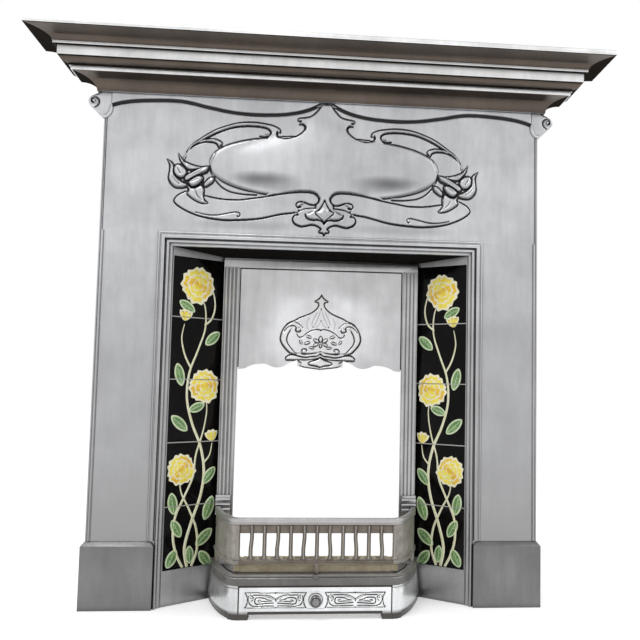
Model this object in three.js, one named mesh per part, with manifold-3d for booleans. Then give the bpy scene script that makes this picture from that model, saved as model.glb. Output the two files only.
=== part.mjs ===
// A cast iron combination fireplace: a mantel and frieze with whiplash relief, splayed tile
// panels, a reeded inner frame with a hood, bow-front fire bars and an ash pit with its cover.
// Millimetres. x runs across, y from the room into the wall, z up from the hearth.
// While it is built, y = 0 is the front face of the jambs; the last lines centre it in depth.
import {
  Box3,
  BoxGeometry,
  CubicBezierCurve,
  CylinderGeometry,
  ExtrudeGeometry,
  Group,
  LatheGeometry,
  Matrix4,
  Mesh,
  MeshStandardMaterial,
  Shape,
  SplineCurve,
  Vector2,
  Vector3,
  BufferAttribute,
  BufferGeometry,
} from 'three';
import { mergeVertices } from 'three/addons/utils/BufferGeometryUtils.js';
import Module from 'manifold-3d';

const wasm = await Module();
wasm.setup();

// ---- Fits and walls ----
const CLEARANCE = 0.3; // between castings that seat on each other
const CAST_WALL = 8; // walls of the front, plinths and shelf
const THIN_WALL = 6; // walls of the grate castings

// ---- Tiles and their splayed panels ----
const TILE_SIZE = 152;
const TILE_THICKNESS = 9.5;
const TILE_JOINT = 0.6;
const TILES_PER_SIDE = 5;
const TILE_LAP = 4; // edge of a tile behind the lip of its panel
const TILE_LIP = 3; // thickness of that lip
const PANEL_BORDER = 6; // iron round the tile pocket
const SKIRT_HEIGHT = 79; // iron below the tiles, down to the hearth
const BACKPLATE_THICKNESS = 3;
const SPLAY_DEPTH = 87; // how far the tiles run back from outer to inner edge
const SPLAY_SETBACK = 4; // tile face behind the architrave at its outer edge

// ---- Front casting ----
const JAMB_SPAN = 1074; // across both jambs
const RETURN_DEPTH = 18; // from the front face back to the wall
const OPENING_WIDTH = 728; // between the inner arrises
const SOFFIT_FALL = 11; // the soffit drops this much towards the back
const SOFFIT_THICKNESS = 5;
const ARCHITRAVE_WIDTH = 34;
const FRIEZE_HEIGHT = 333;
const COLLAR_PROJECTION = 7;
const RELIEF = 7; // height of the ribbons on the frieze
const DOME_RELIEF = 17; // height of the swelling cartouche
const EDGE_BEAD_RADIUS = 2.6;
const EDGE_BEAD_INSET = 7.5;

// ---- Cornice and shelf: projections from the jambs, and heights of each member ----
const COVE_FOOT_PROJECTION = 15.5;
const FILLET_PROJECTION = 65;
const FASCIA_PROJECTION = 90;
const BED_PROJECTION = 98.5;
const SHELF_PROJECTION = 151.5;
const LOWER_COVE_HEIGHT = 31;
const FILLET_HEIGHT = 8;
const OVOLO_HEIGHT = 17;
const FASCIA_HEIGHT = 23;
const BED_HEIGHT = 6;
const UPPER_COVE_HEIGHT = 18.5;
const SHELF_THICKNESS = 12;
const SEAT_WIDTH = 32; // flanges where the shelf rests on the cornice
const SHELF_BOLT_X = 300;

// ---- Plinths ----
const PLINTH_PROJECTION = 9;
const PLINTH_HEIGHT = 157;
const PLINTH_CHAMFER = 11;
const PLINTH_INNER_STRIP = 16; // strip of the front casting left beside each plinth

// ---- Reeded frame, hood and throat ----
const FIREBOX_WIDTH = 416;
const STILE_WIDTH = 40;
const FRAME_THICKNESS = 9;
const HEAD_RAIL = 18.5; // frame above the hood
const HEAD_FLANGE = 6.5; // fixing flange above the head rail
const REEDS = 4;
const REED_HEIGHT = 3;
const HOOD_GAP = 2.6;
const EAR_DROPS = [35, 150]; // bolted ears below the top edge of the hood
const HOOD_HEIGHT = 255;
const HOOD_THICKNESS = 5;
const HOOD_RELIEF = 4;
const FOOT_BLOCK_BOTTOM = 204;
const FOOT_BLOCK_HEIGHT = 48;
const FOOT_BLOCK_WIDTH = 33;
const FOOT_BLOCK_DEPTH = 9;
const THROAT_WIDTH = 300;
const THROAT_DEPTH = 84;
const THROAT_HEIGHT = 66;
const FLAP_THICKNESS = 5;
const FLAP_PIN_RADIUS = 4;

// ---- Bow-front grate ----
const GRATE_FRONT = -91; // front of the fire bars, in front of the jambs
const GRATE_FLAT_WIDTH = 352; // straight part between the curved cheeks
const GRATE_HEAD = 226; // top of the fire bars
const TOP_RAIL_HEIGHT = 16;
const LINTEL_HEIGHT = 12; // web under the top rail, above the gaps
const BARS_FOOT = 123; // underside of the bottom rail
const BOTTOM_RAIL_HEIGHT = 14;
const BAR_COUNT = 13;
const BAR_WIDTH = 9;
const BAR_DEPTH = 9;
const BAR_WAVE = 2.2; // sideways wave of every second bar
const RAIL_TOP = 100; // deep rail under the fire bars
const RAIL_HEIGHT = 23;
const RAIL_PROJECTION = 6;
const GRATE_DEPTH = 96;
const GRATE_THICKNESS = 15;
const GRATE_BARS = 12;

// ---- Ash pit ----
const COVER_WIDTH = 349;
const COVER_THICKNESS = 9;
const KICK_HEIGHT = 17;
const KICK_SETBACK = 4;
const KICK_ARCH = 8;
const FOOT_WIDTH = 23;
const WING_FLARE = 14;
const KNOB_RADIUS = 13.5;

// ---- Fixings ----
const BOLT_RADIUS = 3;
const BOLT_HEAD_RADIUS = 6.5;
const BOLT_HEAD_HEIGHT = 4;
const LUG_WIDTH = 30;
const LUG_HEIGHT = 44;
const LUG_THICKNESS = 6;
const LUG_HOLE_RADIUS = 4;

// ---- Heights and planes that follow from the sizes above ----
const TILE_PITCH = TILE_SIZE + TILE_JOINT;
const TILE_STACK = TILES_PER_SIDE * TILE_PITCH - TILE_JOINT;
const TILE_BOTTOM = SKIRT_HEIGHT;
const POCKET_TOP = TILE_BOTTOM + TILE_STACK + CLEARANCE;
const PANEL_TOP = POCKET_TOP + PANEL_BORDER;
const SOFFIT_BACK_Z = PANEL_TOP + CLEARANCE;
const OPENING_TOP = SOFFIT_BACK_Z + SOFFIT_FALL;
const FRIEZE_BOTTOM = OPENING_TOP + ARCHITRAVE_WIDTH;
const FRIEZE_TOP = FRIEZE_BOTTOM + FRIEZE_HEIGHT;
const FILLET_BOTTOM = FRIEZE_TOP + LOWER_COVE_HEIGHT;
const OVOLO_BOTTOM = FILLET_BOTTOM + FILLET_HEIGHT;
const FASCIA_BOTTOM = OVOLO_BOTTOM + OVOLO_HEIGHT;
const CORNICE_TOP = FASCIA_BOTTOM + FASCIA_HEIGHT;
const BED_BOTTOM = CORNICE_TOP + CLEARANCE;
const BED_TOP = BED_BOTTOM + BED_HEIGHT;
const SLAB_BOTTOM = BED_TOP + UPPER_COVE_HEIGHT;
const SHELF_TOP = SLAB_BOTTOM + SHELF_THICKNESS;

const JAMB_X = JAMB_SPAN / 2;
const ARRIS_X = OPENING_WIDTH / 2;
const ARCHITRAVE_X = ARRIS_X + ARCHITRAVE_WIDTH;
const STRIP_X = ARRIS_X + PLINTH_INNER_STRIP;
const FIREBOX_X = FIREBOX_WIDTH / 2;
const STILE_X = FIREBOX_X + STILE_WIDTH;
const PANEL_FRONT = RETURN_DEPTH + CLEARANCE;

// The face of the tiles in plan: outer edge, inner edge and the direction between them.
const SPLAY_OUTER = new Vector2(ARRIS_X - 1, RETURN_DEPTH + SPLAY_SETBACK);
const SPLAY_INNER = new Vector2(STILE_X + 1, SPLAY_OUTER.y + SPLAY_DEPTH);
const SPLAY_ALONG = SPLAY_INNER.clone().sub(SPLAY_OUTER).normalize();
const SPLAY_BEHIND = new Vector2(-SPLAY_ALONG.y, SPLAY_ALONG.x).negate();
const LIP_FRONT_AT_STILE = SPLAY_INNER.y - TILE_LIP / SPLAY_BEHIND.y;
const FRAME_BACK = LIP_FRONT_AT_STILE - CLEARANCE;
const FRAME_FRONT = FRAME_BACK - FRAME_THICKNESS;
const REED_FRONT = FRAME_FRONT - REED_HEIGHT;
const HEAD_TOP = SOFFIT_BACK_Z - CLEARANCE - HEAD_FLANGE;
const FIREBOX_TOP = HEAD_TOP - HEAD_RAIL;
const GRATE_END = REED_FRONT - CLEARANCE;
const COVER_TOP = RAIL_TOP - RAIL_HEIGHT - CLEARANCE;

// ---- Materials ----
const iron = (color, roughness) =>
  new MeshStandardMaterial({ color, roughness, metalness: 0.85 });
const polishedIron = iron(0xc9cbce, 0.3);
const friezeIron = iron(0xb7b9bc, 0.38);
const darkIron = iron(0x4a443d, 0.45);
const barIron = iron(0x6d665c, 0.5);
const railIron = iron(0x585654, 0.5);
const burntIron = iron(0xa99c78, 0.75);
const backIron = iron(0x2d2b2a, 0.7);
const boltSteel = iron(0x8a8a8a, 0.4);
const tileGlaze = new MeshStandardMaterial({ color: 0x111112, roughness: 0.12, metalness: 0 });

// ---- Solids ----
// A three.js geometry as a closed solid with its faces pointing out.
function solid(geometry) {
  const bare = new BufferGeometry();
  const flat = geometry.index ? geometry.toNonIndexed() : geometry;
  bare.setAttribute('position', flat.getAttribute('position'));
  const merged = mergeVertices(bare, 1e-4);
  const triVerts = new Uint32Array(merged.index.array);
  const vertProperties = new Float32Array(merged.getAttribute('position').array);
  if (signedVolume(vertProperties, triVerts) < 0) {
    for (let i = 0; i < triVerts.length; i += 3) {
      [triVerts[i], triVerts[i + 1]] = [triVerts[i + 1], triVerts[i]];
    }
  }
  return new wasm.Manifold(new wasm.Mesh({ numProp: 3, vertProperties, triVerts }));
}

function signedVolume(xyz, triangles) {
  const [a, b, c] = [new Vector3(), new Vector3(), new Vector3()];
  let volume = 0;
  for (let i = 0; i < triangles.length; i += 3) {
    a.fromArray(xyz, 3 * triangles[i]);
    b.fromArray(xyz, 3 * triangles[i + 1]);
    c.fromArray(xyz, 3 * triangles[i + 2]);
    volume += a.dot(b.cross(c)) / 6;
  }
  return volume;
}

function geometryOf(body) {
  const { numProp, numVert, vertProperties, triVerts } = body.getMesh();
  const position = new Float32Array(numVert * 3);
  for (let i = 0; i < numVert; i++) {
    position.set(vertProperties.subarray(i * numProp, i * numProp + 3), i * 3);
  }
  const geometry = new BufferGeometry();
  geometry.setAttribute('position', new BufferAttribute(position, 3));
  geometry.setIndex(new BufferAttribute(triVerts, 1));
  geometry.computeVertexNormals();
  return geometry;
}

const join = (...bodies) => bodies.flat().reduce((all, body) => all.add(body));
const moved = (body, matrix) => solid(geometryOf(body).applyMatrix4(matrix));
const mirrored = (body) => moved(body, new Matrix4().makeScale(-1, 1, 1));
const bothSides = (body) => [body, mirrored(body)];

// A box between two corners.
function box(x0, x1, y0, y1, z0, z1) {
  const size = new BoxGeometry(x1 - x0, y1 - y0, z1 - z0);
  return solid(size.translate((x0 + x1) / 2, (y0 + y1) / 2, (z0 + z1) / 2));
}

// A closed outline; a point that repeats the one before it is left out.
function shapeOf(points) {
  const distinct = points.filter(([x, y], i) => {
    const [px, py] = points.at(i - 1);
    return Math.hypot(x - px, y - py) > 0.05;
  });
  return new Shape(distinct.map(([x, y]) => new Vector2(x, y)));
}

// A smooth curve through points, as [x, y] pairs.
function smooth(points, perSpan = 4) {
  const curve = new SplineCurve(points.map(([x, y]) => new Vector2(x, y)));
  return curve.getPoints(perSpan * (points.length - 1)).map((p) => [p.x, p.y]);
}

// An outline drawn in x and z, from its back plane forward to the room.
function frontal(shape, back, depth, bevel = 0) {
  const geometry = new ExtrudeGeometry(shape, {
    depth: depth - bevel,
    bevelEnabled: bevel > 0,
    bevelThickness: bevel,
    bevelSize: bevel,
    bevelOffset: -bevel,
    bevelSegments: 1,
  });
  return solid(geometry.rotateX(Math.PI / 2).translate(0, back, 0));
}

// An outline drawn in x and y, from z0 up to z1.
function upright(points, z0, z1) {
  const geometry = new ExtrudeGeometry(shapeOf(points), { depth: z1 - z0, bevelEnabled: false });
  return solid(geometry.translate(0, 0, z0));
}

// An outline drawn in y and z, from x0 across to x1.
function sideways(points, x0, x1) {
  const geometry = new ExtrudeGeometry(shapeOf(points), { depth: x1 - x0, bevelEnabled: false });
  const [across, back, up] = [new Vector3(1, 0, 0), new Vector3(0, 1, 0), new Vector3(0, 0, 1)];
  geometry.applyMatrix4(new Matrix4().makeBasis(back, up, across));
  return solid(geometry.translate(x0, 0, 0));
}

// A section (u, v) carried through stations, each of which places it in space: mitred or curved.
function sweep(section, stations) {
  const runs = stations.length - 1;
  const geometry = new ExtrudeGeometry(shapeOf(section), {
    depth: runs,
    steps: runs,
    bevelEnabled: false,
  });
  const position = geometry.getAttribute('position');
  for (let i = 0; i < position.count; i++) {
    const place = stations[Math.round(position.getZ(i))];
    position.setXYZ(i, ...place(position.getX(i), position.getY(i)));
  }
  return solid(geometry);
}

// A round bar or bore along y, from y0 back to y1.
function rodAlongY(x, z, y0, y1, radius, sides = 12) {
  const rod = new CylinderGeometry(radius, radius, y1 - y0, sides);
  return solid(rod.translate(x, (y0 + y1) / 2, z));
}

function rodAlongX(y, z, x0, x1, radius, sides = 12) {
  const rod = new CylinderGeometry(radius, radius, x1 - x0, sides).rotateZ(Math.PI / 2);
  return solid(rod.translate((x0 + x1) / 2, y, z));
}

function rodAlongZ(x, y, z0, z1, radius, sides = 12) {
  const rod = new CylinderGeometry(radius, radius, z1 - z0, sides).rotateX(Math.PI / 2);
  return solid(rod.translate(x, y, (z0 + z1) / 2));
}

// ---- Scene graph ----
const fireplace = new Group();
fireplace.name = 'fireplace';

function add(name, body, material, parent = fireplace) {
  const mesh = new Mesh(geometryOf(body), material);
  mesh.name = name;
  parent.add(mesh);
  return mesh;
}

// ---- Cornice, shelf and architrave: sections (projection, height) mitred round the front ----
const mantelStations = [
  (d, z) => [-JAMB_X - d, RETURN_DEPTH, z],
  (d, z) => [-JAMB_X - d, -d, z],
  (d, z) => [JAMB_X + d, -d, z],
  (d, z) => [JAMB_X + d, RETURN_DEPTH, z],
];

// A quarter hollow or round between two corners; `hollow` bows it towards the wall.
function quarter(d0, z0, d1, z1, hollow, steps = 6) {
  return Array.from({ length: steps + 1 }, (_, i) => {
    const angle = (i / steps) * (Math.PI / 2);
    const across = hollow ? 1 - Math.cos(angle) : Math.sin(angle);
    const along = hollow ? Math.sin(angle) : 1 - Math.cos(angle);
    return [d0 + (d1 - d0) * across, z0 + (z1 - z0) * along];
  });
}

const OVOLO_STEP = 4; // quirks above and below the ovolo
const corniceFace = [
  ...quarter(COVE_FOOT_PROJECTION, FRIEZE_TOP, FILLET_PROJECTION - 3, FILLET_BOTTOM, true),
  [FILLET_PROJECTION, FILLET_BOTTOM],
  [FILLET_PROJECTION, OVOLO_BOTTOM],
  [FILLET_PROJECTION + OVOLO_STEP, OVOLO_BOTTOM],
  ...quarter(FILLET_PROJECTION + OVOLO_STEP, OVOLO_BOTTOM + OVOLO_STEP,
    FASCIA_PROJECTION - OVOLO_STEP, FASCIA_BOTTOM - 1, false, 4),
  [FASCIA_PROJECTION, FASCIA_BOTTOM],
  [FASCIA_PROJECTION, CORNICE_TOP],
];
const seatInner = FASCIA_PROJECTION - SEAT_WIDTH;
const corniceSection = [
  [-CAST_WALL, FRIEZE_TOP - CAST_WALL],
  [0, FRIEZE_TOP - CAST_WALL],
  [0, FRIEZE_TOP],
  ...corniceFace,
  [seatInner, CORNICE_TOP],
  [seatInner, CORNICE_TOP - THIN_WALL],
  [FASCIA_PROJECTION - CAST_WALL, CORNICE_TOP - THIN_WALL],
  [FASCIA_PROJECTION - CAST_WALL, FASCIA_BOTTOM + CAST_WALL],
  [FILLET_PROJECTION - CAST_WALL, OVOLO_BOTTOM],
  [FILLET_PROJECTION - 2.2 * CAST_WALL, FILLET_BOTTOM + 2],
  [COVE_FOOT_PROJECTION, FILLET_BOTTOM - 4],
  [COVE_FOOT_PROJECTION - CAST_WALL, FRIEZE_TOP + CAST_WALL],
  [-CAST_WALL, FRIEZE_TOP + CAST_WALL],
];
const cornice = sweep(corniceSection, mantelStations);

const shelfSection = [
  [seatInner, BED_BOTTOM],
  [BED_PROJECTION, BED_BOTTOM],
  [BED_PROJECTION, BED_TOP],
  ...quarter(BED_PROJECTION + 1, BED_TOP, SHELF_PROJECTION - 2, SLAB_BOTTOM, true, 7),
  [SHELF_PROJECTION - 0.5, SLAB_BOTTOM + 1],
  [SHELF_PROJECTION, SLAB_BOTTOM + 3],
  [SHELF_PROJECTION, SHELF_TOP - 3],
  [SHELF_PROJECTION - 2, SHELF_TOP],
  [seatInner, SHELF_TOP],
  [seatInner, SHELF_TOP - THIN_WALL],
  [SHELF_PROJECTION - 4 * CAST_WALL, SHELF_TOP - THIN_WALL],
  [BED_PROJECTION - CAST_WALL + 2, BED_TOP + THIN_WALL],
  [seatInner, BED_BOTTOM + THIN_WALL],
];
const slabX = JAMB_X + seatInner;
const shelfTop = box(-slabX - 1, slabX + 1, -seatInner - 1, RETURN_DEPTH,
  SHELF_TOP - THIN_WALL, SHELF_TOP);

// Section of the architrave: e runs out from the arris, y from the room into the recess.
const architraveSection = [
  [0, RETURN_DEPTH], [0, 15], [2, 12], [5, 10.5], [7, 10.5], [7, 4], [8.5, 1.5], [11, 0.5],
  [13.5, 1.5], [15, 4], [15, 7], [17.5, 7], [17.5, -3.5], [21, -4.5], [25, -3], [28, -2],
  [29.5, -3.2], [32, -3.2], [ARCHITRAVE_WIDTH, -1], [ARCHITRAVE_WIDTH, CAST_WALL],
  [24, CAST_WALL], [18, RETURN_DEPTH],
];
// Each jamb's mouldings die on its plinth, and the innermost ones run on down to the hearth.
const architraveStations = (foot) => [
  (e, y) => [-ARRIS_X - e, y, foot],
  (e, y) => [-ARRIS_X - e, y, OPENING_TOP + e],
  (e, y) => [ARRIS_X + e, y, OPENING_TOP + e],
  (e, y) => [ARRIS_X + e, y, foot],
];

// ---- Front casting ----
function frontPlate() {
  const outline = shapeOf([
    [-JAMB_X, PLINTH_HEIGHT + CLEARANCE],
    [-ARCHITRAVE_X + 1, PLINTH_HEIGHT + CLEARANCE],
    [-ARCHITRAVE_X + 1, FRIEZE_BOTTOM - 1],
    [ARCHITRAVE_X - 1, FRIEZE_BOTTOM - 1],
    [ARCHITRAVE_X - 1, PLINTH_HEIGHT + CLEARANCE],
    [JAMB_X, PLINTH_HEIGHT + CLEARANCE],
    [JAMB_X, FRIEZE_TOP],
    [-JAMB_X, FRIEZE_TOP],
  ]);
  return frontal(outline, CAST_WALL, CAST_WALL);
}

const jambReturn = box(JAMB_X - CAST_WALL, JAMB_X, 0.5, RETURN_DEPTH,
  PLINTH_HEIGHT + CLEARANCE, FRIEZE_TOP + 1);

function edgeBead() {
  const x = JAMB_X - EDGE_BEAD_INSET;
  const foot = PLINTH_HEIGHT + CLEARANCE;
  return rodAlongZ(x, 0, foot, FRIEZE_TOP - 40, EDGE_BEAD_RADIUS, 8);
}

// Wall lugs inside the returns, with their backs on the wall plane.
const LUG_HEIGHTS = [420, 1000];
const lugs = LUG_HEIGHTS.map((z) => {
  const x1 = JAMB_X - CAST_WALL + 1;
  const lug = box(x1 - LUG_WIDTH, x1, RETURN_DEPTH - LUG_THICKNESS, RETURN_DEPTH,
    z - LUG_HEIGHT / 2, z + LUG_HEIGHT / 2);
  const hole = rodAlongY(x1 - LUG_WIDTH / 2, z, 0, RETURN_DEPTH + 1, LUG_HOLE_RADIUS);
  return lug.subtract(hole);
});

// The collar under the cornice: its lower edge waves down from the corners to the crown.
const COLLAR_CENTRE = 19;
const COLLAR_END = JAMB_X - 17.5;
const collarWave = [
  ...smooth([
    [1, -25], [0.966, -20.5], [0.897, -15.5], [0.828, -12.5], [0.758, -11], [0.689, -11.5],
    [0.62, -15], [0.549, -22], [0.479, -28], [0.41, -32], [0.339, -34], [0.269, -33.5],
    [0.198, -31], [0.127, -25.5], [0.081, -18], [0.05, -8],
  ].map(([share, z]) => [share * COLLAR_END, z]), 2),
  [COLLAR_CENTRE, 0],
].map(([x, z]) => [x, FRIEZE_TOP + z]);
const collar = frontal(shapeOf([
  [COLLAR_END, FRIEZE_TOP + 1], ...collarWave, [COLLAR_CENTRE, FRIEZE_TOP + 1],
]), 1, COLLAR_PROJECTION + 1);

// The corner scroll under each end of the cornice: distance out from the corner, height below it.
const cornerScroll = smooth([
  [-17.5, -25], [-21.5, -37], [-17, -51], [-6, -62], [5, -59], [15, -50], [26, -39], [36, -29],
  [38.5, -20], [34, -11], [26, -6], [14, 0],
], 2).map(([d, z]) => [JAMB_X + d, FRIEZE_TOP + z]);
function cornerLobe() {
  const outline = shapeOf([...cornerScroll, [JAMB_X - 17.5, FRIEZE_TOP + 1]]);
  const lobe = frontal(outline, RETURN_DEPTH - 4, RETURN_DEPTH + COLLAR_PROJECTION - 2, 2);
  const eye = rodAlongY(JAMB_X + 27, FRIEZE_TOP - 21, -20, 0, 5, 10);
  return lobe.subtract(eye);
}

// ---- Frieze relief: outlines in x, and in z below the frieze's top, for the right half ----
const below = (points) => points.map(([x, z]) => [x, FRIEZE_TOP + z]);
const relief = (points, height = RELIEF, bevel = 3) =>
  frontal(shapeOf(below(points)), CAST_WALL / 2, CAST_WALL / 2 + height, bevel);

// A form that swells from its outline to a crest: a quarter-round revolve, each meridian of
// which is stretched to one point of the outline. `base` is the plane that it rises from.
function swelling(outline, height, base = 0, rings = 3) {
  const closed = outline.slice(0, -1);
  const centre = closed.reduce(([x, z], p) => [x + p[0] / closed.length, z + p[1] / closed.length],
    [0, 0]);
  const profile = [new Vector2(0, -1), new Vector2(1, -1)];
  for (let i = 0; i <= rings; i++) {
    const angle = (i / rings) * (Math.PI / 2);
    profile.push(new Vector2(i < rings ? Math.cos(angle) : 0, Math.sin(angle)));
  }
  const geometry = new LatheGeometry(profile, closed.length);
  const position = geometry.getAttribute('position');
  for (let i = 0; i < position.count; i++) {
    const meridian = Math.floor(i / profile.length) % closed.length;
    const reach = Math.hypot(position.getX(i), position.getZ(i));
    const x = centre[0] + reach * (closed[meridian][0] - centre[0]);
    const z = centre[1] + reach * (closed[meridian][1] - centre[1]);
    const rise = position.getY(i);
    position.setXYZ(i, x, rise < 0 ? CAST_WALL / 2 : -base - height * rise, z);
  }
  return solid(geometry);
}

// The cartouche: its outline is a rounded oblong.
const DOME = { halfWidth: 281, top: -86, bottom: -240, roundness: 2.5, sides: 44 };
const cartoucheOutline = Array.from({ length: DOME.sides + 1 }, (_, i) => {
  const angle = (i / DOME.sides) * 2 * Math.PI;
  const [c, s] = [Math.cos(angle), Math.sin(angle)];
  const reach = (Math.abs(c) ** DOME.roundness + Math.abs(s) ** DOME.roundness)
    ** (-1 / DOME.roundness);
  const middle = (DOME.top + DOME.bottom) / 2;
  return [DOME.halfWidth * reach * c, middle + (DOME.top - DOME.bottom) / 2 * reach * s];
});

const crown = (() => {
  const half = smooth([
    [18, 1], [23, -12], [36, -29], [51, -39], [67, -42], [59, -49], [64, -57], [53, -66],
    [55, -77], [68, -88], [88, -96], [103, -97], [117, -91], [124, -84],
  ], 2);
  const left = half.map(([x, z]) => [-x, z]).reverse();
  return relief([...half, [132, -112], [-132, -112], ...left], RELIEF + 2, 1.5);
})();

const ribbons = [
  // upper whiplash, from the crown's curl out and down to the flower
  [...smooth([[112, -72], [122, -63], [140, -59], [178, -57.5], [205, -60], [246, -71],
    [284, -88], [316, -112], [334, -137], [343, -156]], 2),
  ...smooth([[331, -156], [318, -130], [296, -108], [262, -89], [225, -77], [180, -71],
    [145, -71], [126, -76]], 2)],
  // crescent leaf inside it
  [...smooth([[338, -152], [330, -135], [316, -121], [300, -114.5], [282, -114], [266, -120]], 2),
    ...smooth([[274, -134], [279, -152], [281, -172], [286, -190]], 2),
    ...smooth([[310, -186], [330, -172], [338, -152]], 2)],
  // broad lower ribbon
  [...smooth([[14, -246], [16, -232], [30, -225.5], [55, -226.5], [109, -238], [169, -250],
    [229, -254], [265, -251], [290, -245], [318, -236], [340, -237]], 2),
  ...smooth([[355, -246], [363, -258], [360, -272], [341, -284], [318, -292], [287, -300],
    [252, -303.5], [204, -302], [144, -293], [108, -283.5], [80, -277], [60, -265]], 2),
  ...smooth([[71, -259], [71, -250], [55, -251], [28, -256]], 2)],
];

// The lily at the ribbons' end: outer petal, upper petal, bud, calyx and stipule.
const lily = [
  smooth([[383, -160], [378, -176], [375, -196], [367, -214], [350, -224], [337, -220],
    [348, -208], [360, -192], [370, -172], [383, -160]], 2),
  smooth([[353, -146], [347, -160], [338, -176], [330, -196], [322, -190], [328, -172],
    [338, -156], [353, -146]], 2),
  smooth([[282, -172], [292, -190], [312, -212], [332, -226], [343, -220], [340, -204],
    [322, -186], [300, -174], [282, -172]], 2),
  smooth([[330, -222], [322, -242], [306, -262], [284, -265], [300, -246], [308, -226],
    [318, -214], [330, -222]], 2),
  smooth([[298, -196], [284, -198], [268, -208], [272, -222], [288, -222], [300, -210],
    [298, -196]], 2),
];

const budOrnament = [
  [...smooth([[0, -256], [9, -266], [19, -278], [34, -270], [47, -268]], 2),
    ...smooth([[60, -277], [74, -282], [78, -292], [70, -306], [52, -311], [34, -308],
      [18, -309], [8, -316]], 2),
    ...smooth([[14, -323], [0, -332]], 2)],
];

const surround = (() => {
  const symmetricBud = budOrnament.map((half) =>
    relief([...half, ...half.slice(1, -1).map(([x, z]) => [-x, z]).reverse()], RELIEF - 1));
  const ribbonBodies = ribbons.map((outline) => relief(outline));
  const petals = lily.map((outline) => swelling(below(outline), RELIEF, 3));
  const plain = join(
    frontPlate(),
    sweep(architraveSection, architraveStations(PLINTH_HEIGHT + CLEARANCE)),
    bothSides(jambReturn),
    lugs.flatMap(bothSides),
    cornice,
    bothSides(edgeBead()),
    bothSides(collar),
    bothSides(cornerLobe()),
    [...ribbonBodies, ...petals].flatMap(bothSides),
    swelling(below(cartoucheOutline), DOME_RELIEF, 0, 4),
    crown,
    symmetricBud,
  );
  // Beside the plinths only the innermost mouldings run on, down to the hearth.
  const strip = upright([
    [ARRIS_X, RETURN_DEPTH],
    ...architraveSection.filter(([e, y]) => e < PLINTH_INNER_STRIP && y < RETURN_DEPTH)
      .map(([e, y]) => [ARRIS_X + e, y]),
    [ARRIS_X + PLINTH_INNER_STRIP - 1, RETURN_DEPTH],
  ], 0, PLINTH_HEIGHT + 2);
  return join(plain, bothSides(strip));
})();
const SHELF_BOLT_Y = -(seatInner + FASCIA_PROJECTION - CAST_WALL) / 2;
const shelfBores = bothSides(rodAlongZ(SHELF_BOLT_X, SHELF_BOLT_Y, CORNICE_TOP - 2 * THIN_WALL,
  BED_BOTTOM + 0.75 * THIN_WALL, BOLT_RADIUS + 2 * CLEARANCE));
const bored = (body) => shelfBores.reduce((rest, bore) => rest.subtract(bore), body);
add('surround', bored(surround), friezeIron);
add('mantel_shelf', bored(join(sweep(shelfSection, mantelStations), shelfTop)), polishedIron);

// ---- Plinths: hollow blocks, chamfered round the top and open at the back ----
const plinthX0 = STRIP_X - 1 + CLEARANCE;
const plinthX1 = JAMB_X + PLINTH_PROJECTION;
const plinth = (() => {
  const outline = shapeOf([
    [plinthX0, -PLINTH_PROJECTION], [plinthX1, -PLINTH_PROJECTION],
    [plinthX1, RETURN_DEPTH + PLINTH_CHAMFER], [plinthX0, RETURN_DEPTH + PLINTH_CHAMFER],
  ]);
  const block = new ExtrudeGeometry(outline, {
    depth: PLINTH_HEIGHT - PLINTH_CHAMFER,
    bevelThickness: PLINTH_CHAMFER,
    bevelSize: PLINTH_PROJECTION,
    bevelOffset: -PLINTH_PROJECTION,
    bevelSegments: 1,
  });
  return solid(block)
    .subtract(box(plinthX0 + CAST_WALL, plinthX1 - CAST_WALL, CAST_WALL - PLINTH_PROJECTION,
      2 * RETURN_DEPTH, -1, PLINTH_HEIGHT - PLINTH_CHAMFER - 1))
    .subtract(box(plinthX0 - 1, plinthX1 + 1, RETURN_DEPTH, 4 * RETURN_DEPTH, -20,
      PLINTH_HEIGHT + 1))
    .subtract(box(plinthX0 - 1, plinthX1 + 1, -3 * RETURN_DEPTH, 4 * RETURN_DEPTH,
      -2 * PLINTH_CHAMFER, 0));
})();
add('plinth_left', mirrored(plinth), polishedIron);
add('plinth_right', plinth, polishedIron);

// ---- Bolts: a shank from the origin up +z and a hexagon head below it ----
function bolt(name, at, towards, shankLength) {
  const shank = new CylinderGeometry(BOLT_RADIUS, BOLT_RADIUS, shankLength + 1, 12)
    .rotateX(Math.PI / 2).translate(0, 0, (shankLength - 1) / 2);
  const head = new CylinderGeometry(BOLT_HEAD_RADIUS, BOLT_HEAD_RADIUS, BOLT_HEAD_HEIGHT, 6)
    .rotateX(Math.PI / 2).translate(0, 0, -BOLT_HEAD_HEIGHT / 2);
  const mesh = add(name, solid(shank).add(solid(head)), boltSteel);
  mesh.quaternion.setFromUnitVectors(new Vector3(0, 0, 1), towards);
  mesh.position.copy(at);
  return mesh;
}
const BORE_RADIUS = BOLT_RADIUS + 2 * CLEARANCE;
const FORWARD = new Vector3(0, -1, 0);
const UP = new Vector3(0, 0, 1);

// ---- Splayed tile panels: built flat, u along the tiles and v behind them, then turned ----
const TILE_U = (SPLAY_OUTER.distanceTo(SPLAY_INNER) - TILE_SIZE) / 2;
const POCKET_U0 = TILE_U - CLEARANCE;
const POCKET_U1 = TILE_U + TILE_SIZE + CLEARANCE;
const PANEL_BACK_V = TILE_THICKNESS + 2 * CLEARANCE;
const PLATE_V = PANEL_BACK_V + CLEARANCE;
const SEAT_BOTTOM = TILE_BOTTOM - 3 * PANEL_BORDER; // thick band of the skirt under the tiles
const SEAT_BOLT_Z = TILE_BOTTOM - 1.5 * PANEL_BORDER;
const splayTurn = new Matrix4().makeBasis(
  new Vector3(SPLAY_ALONG.x, SPLAY_ALONG.y, 0),
  new Vector3(SPLAY_BEHIND.x, SPLAY_BEHIND.y, 0),
  new Vector3(0, 0, 1),
).setPosition(SPLAY_OUTER.x, SPLAY_OUTER.y, 0);

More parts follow.
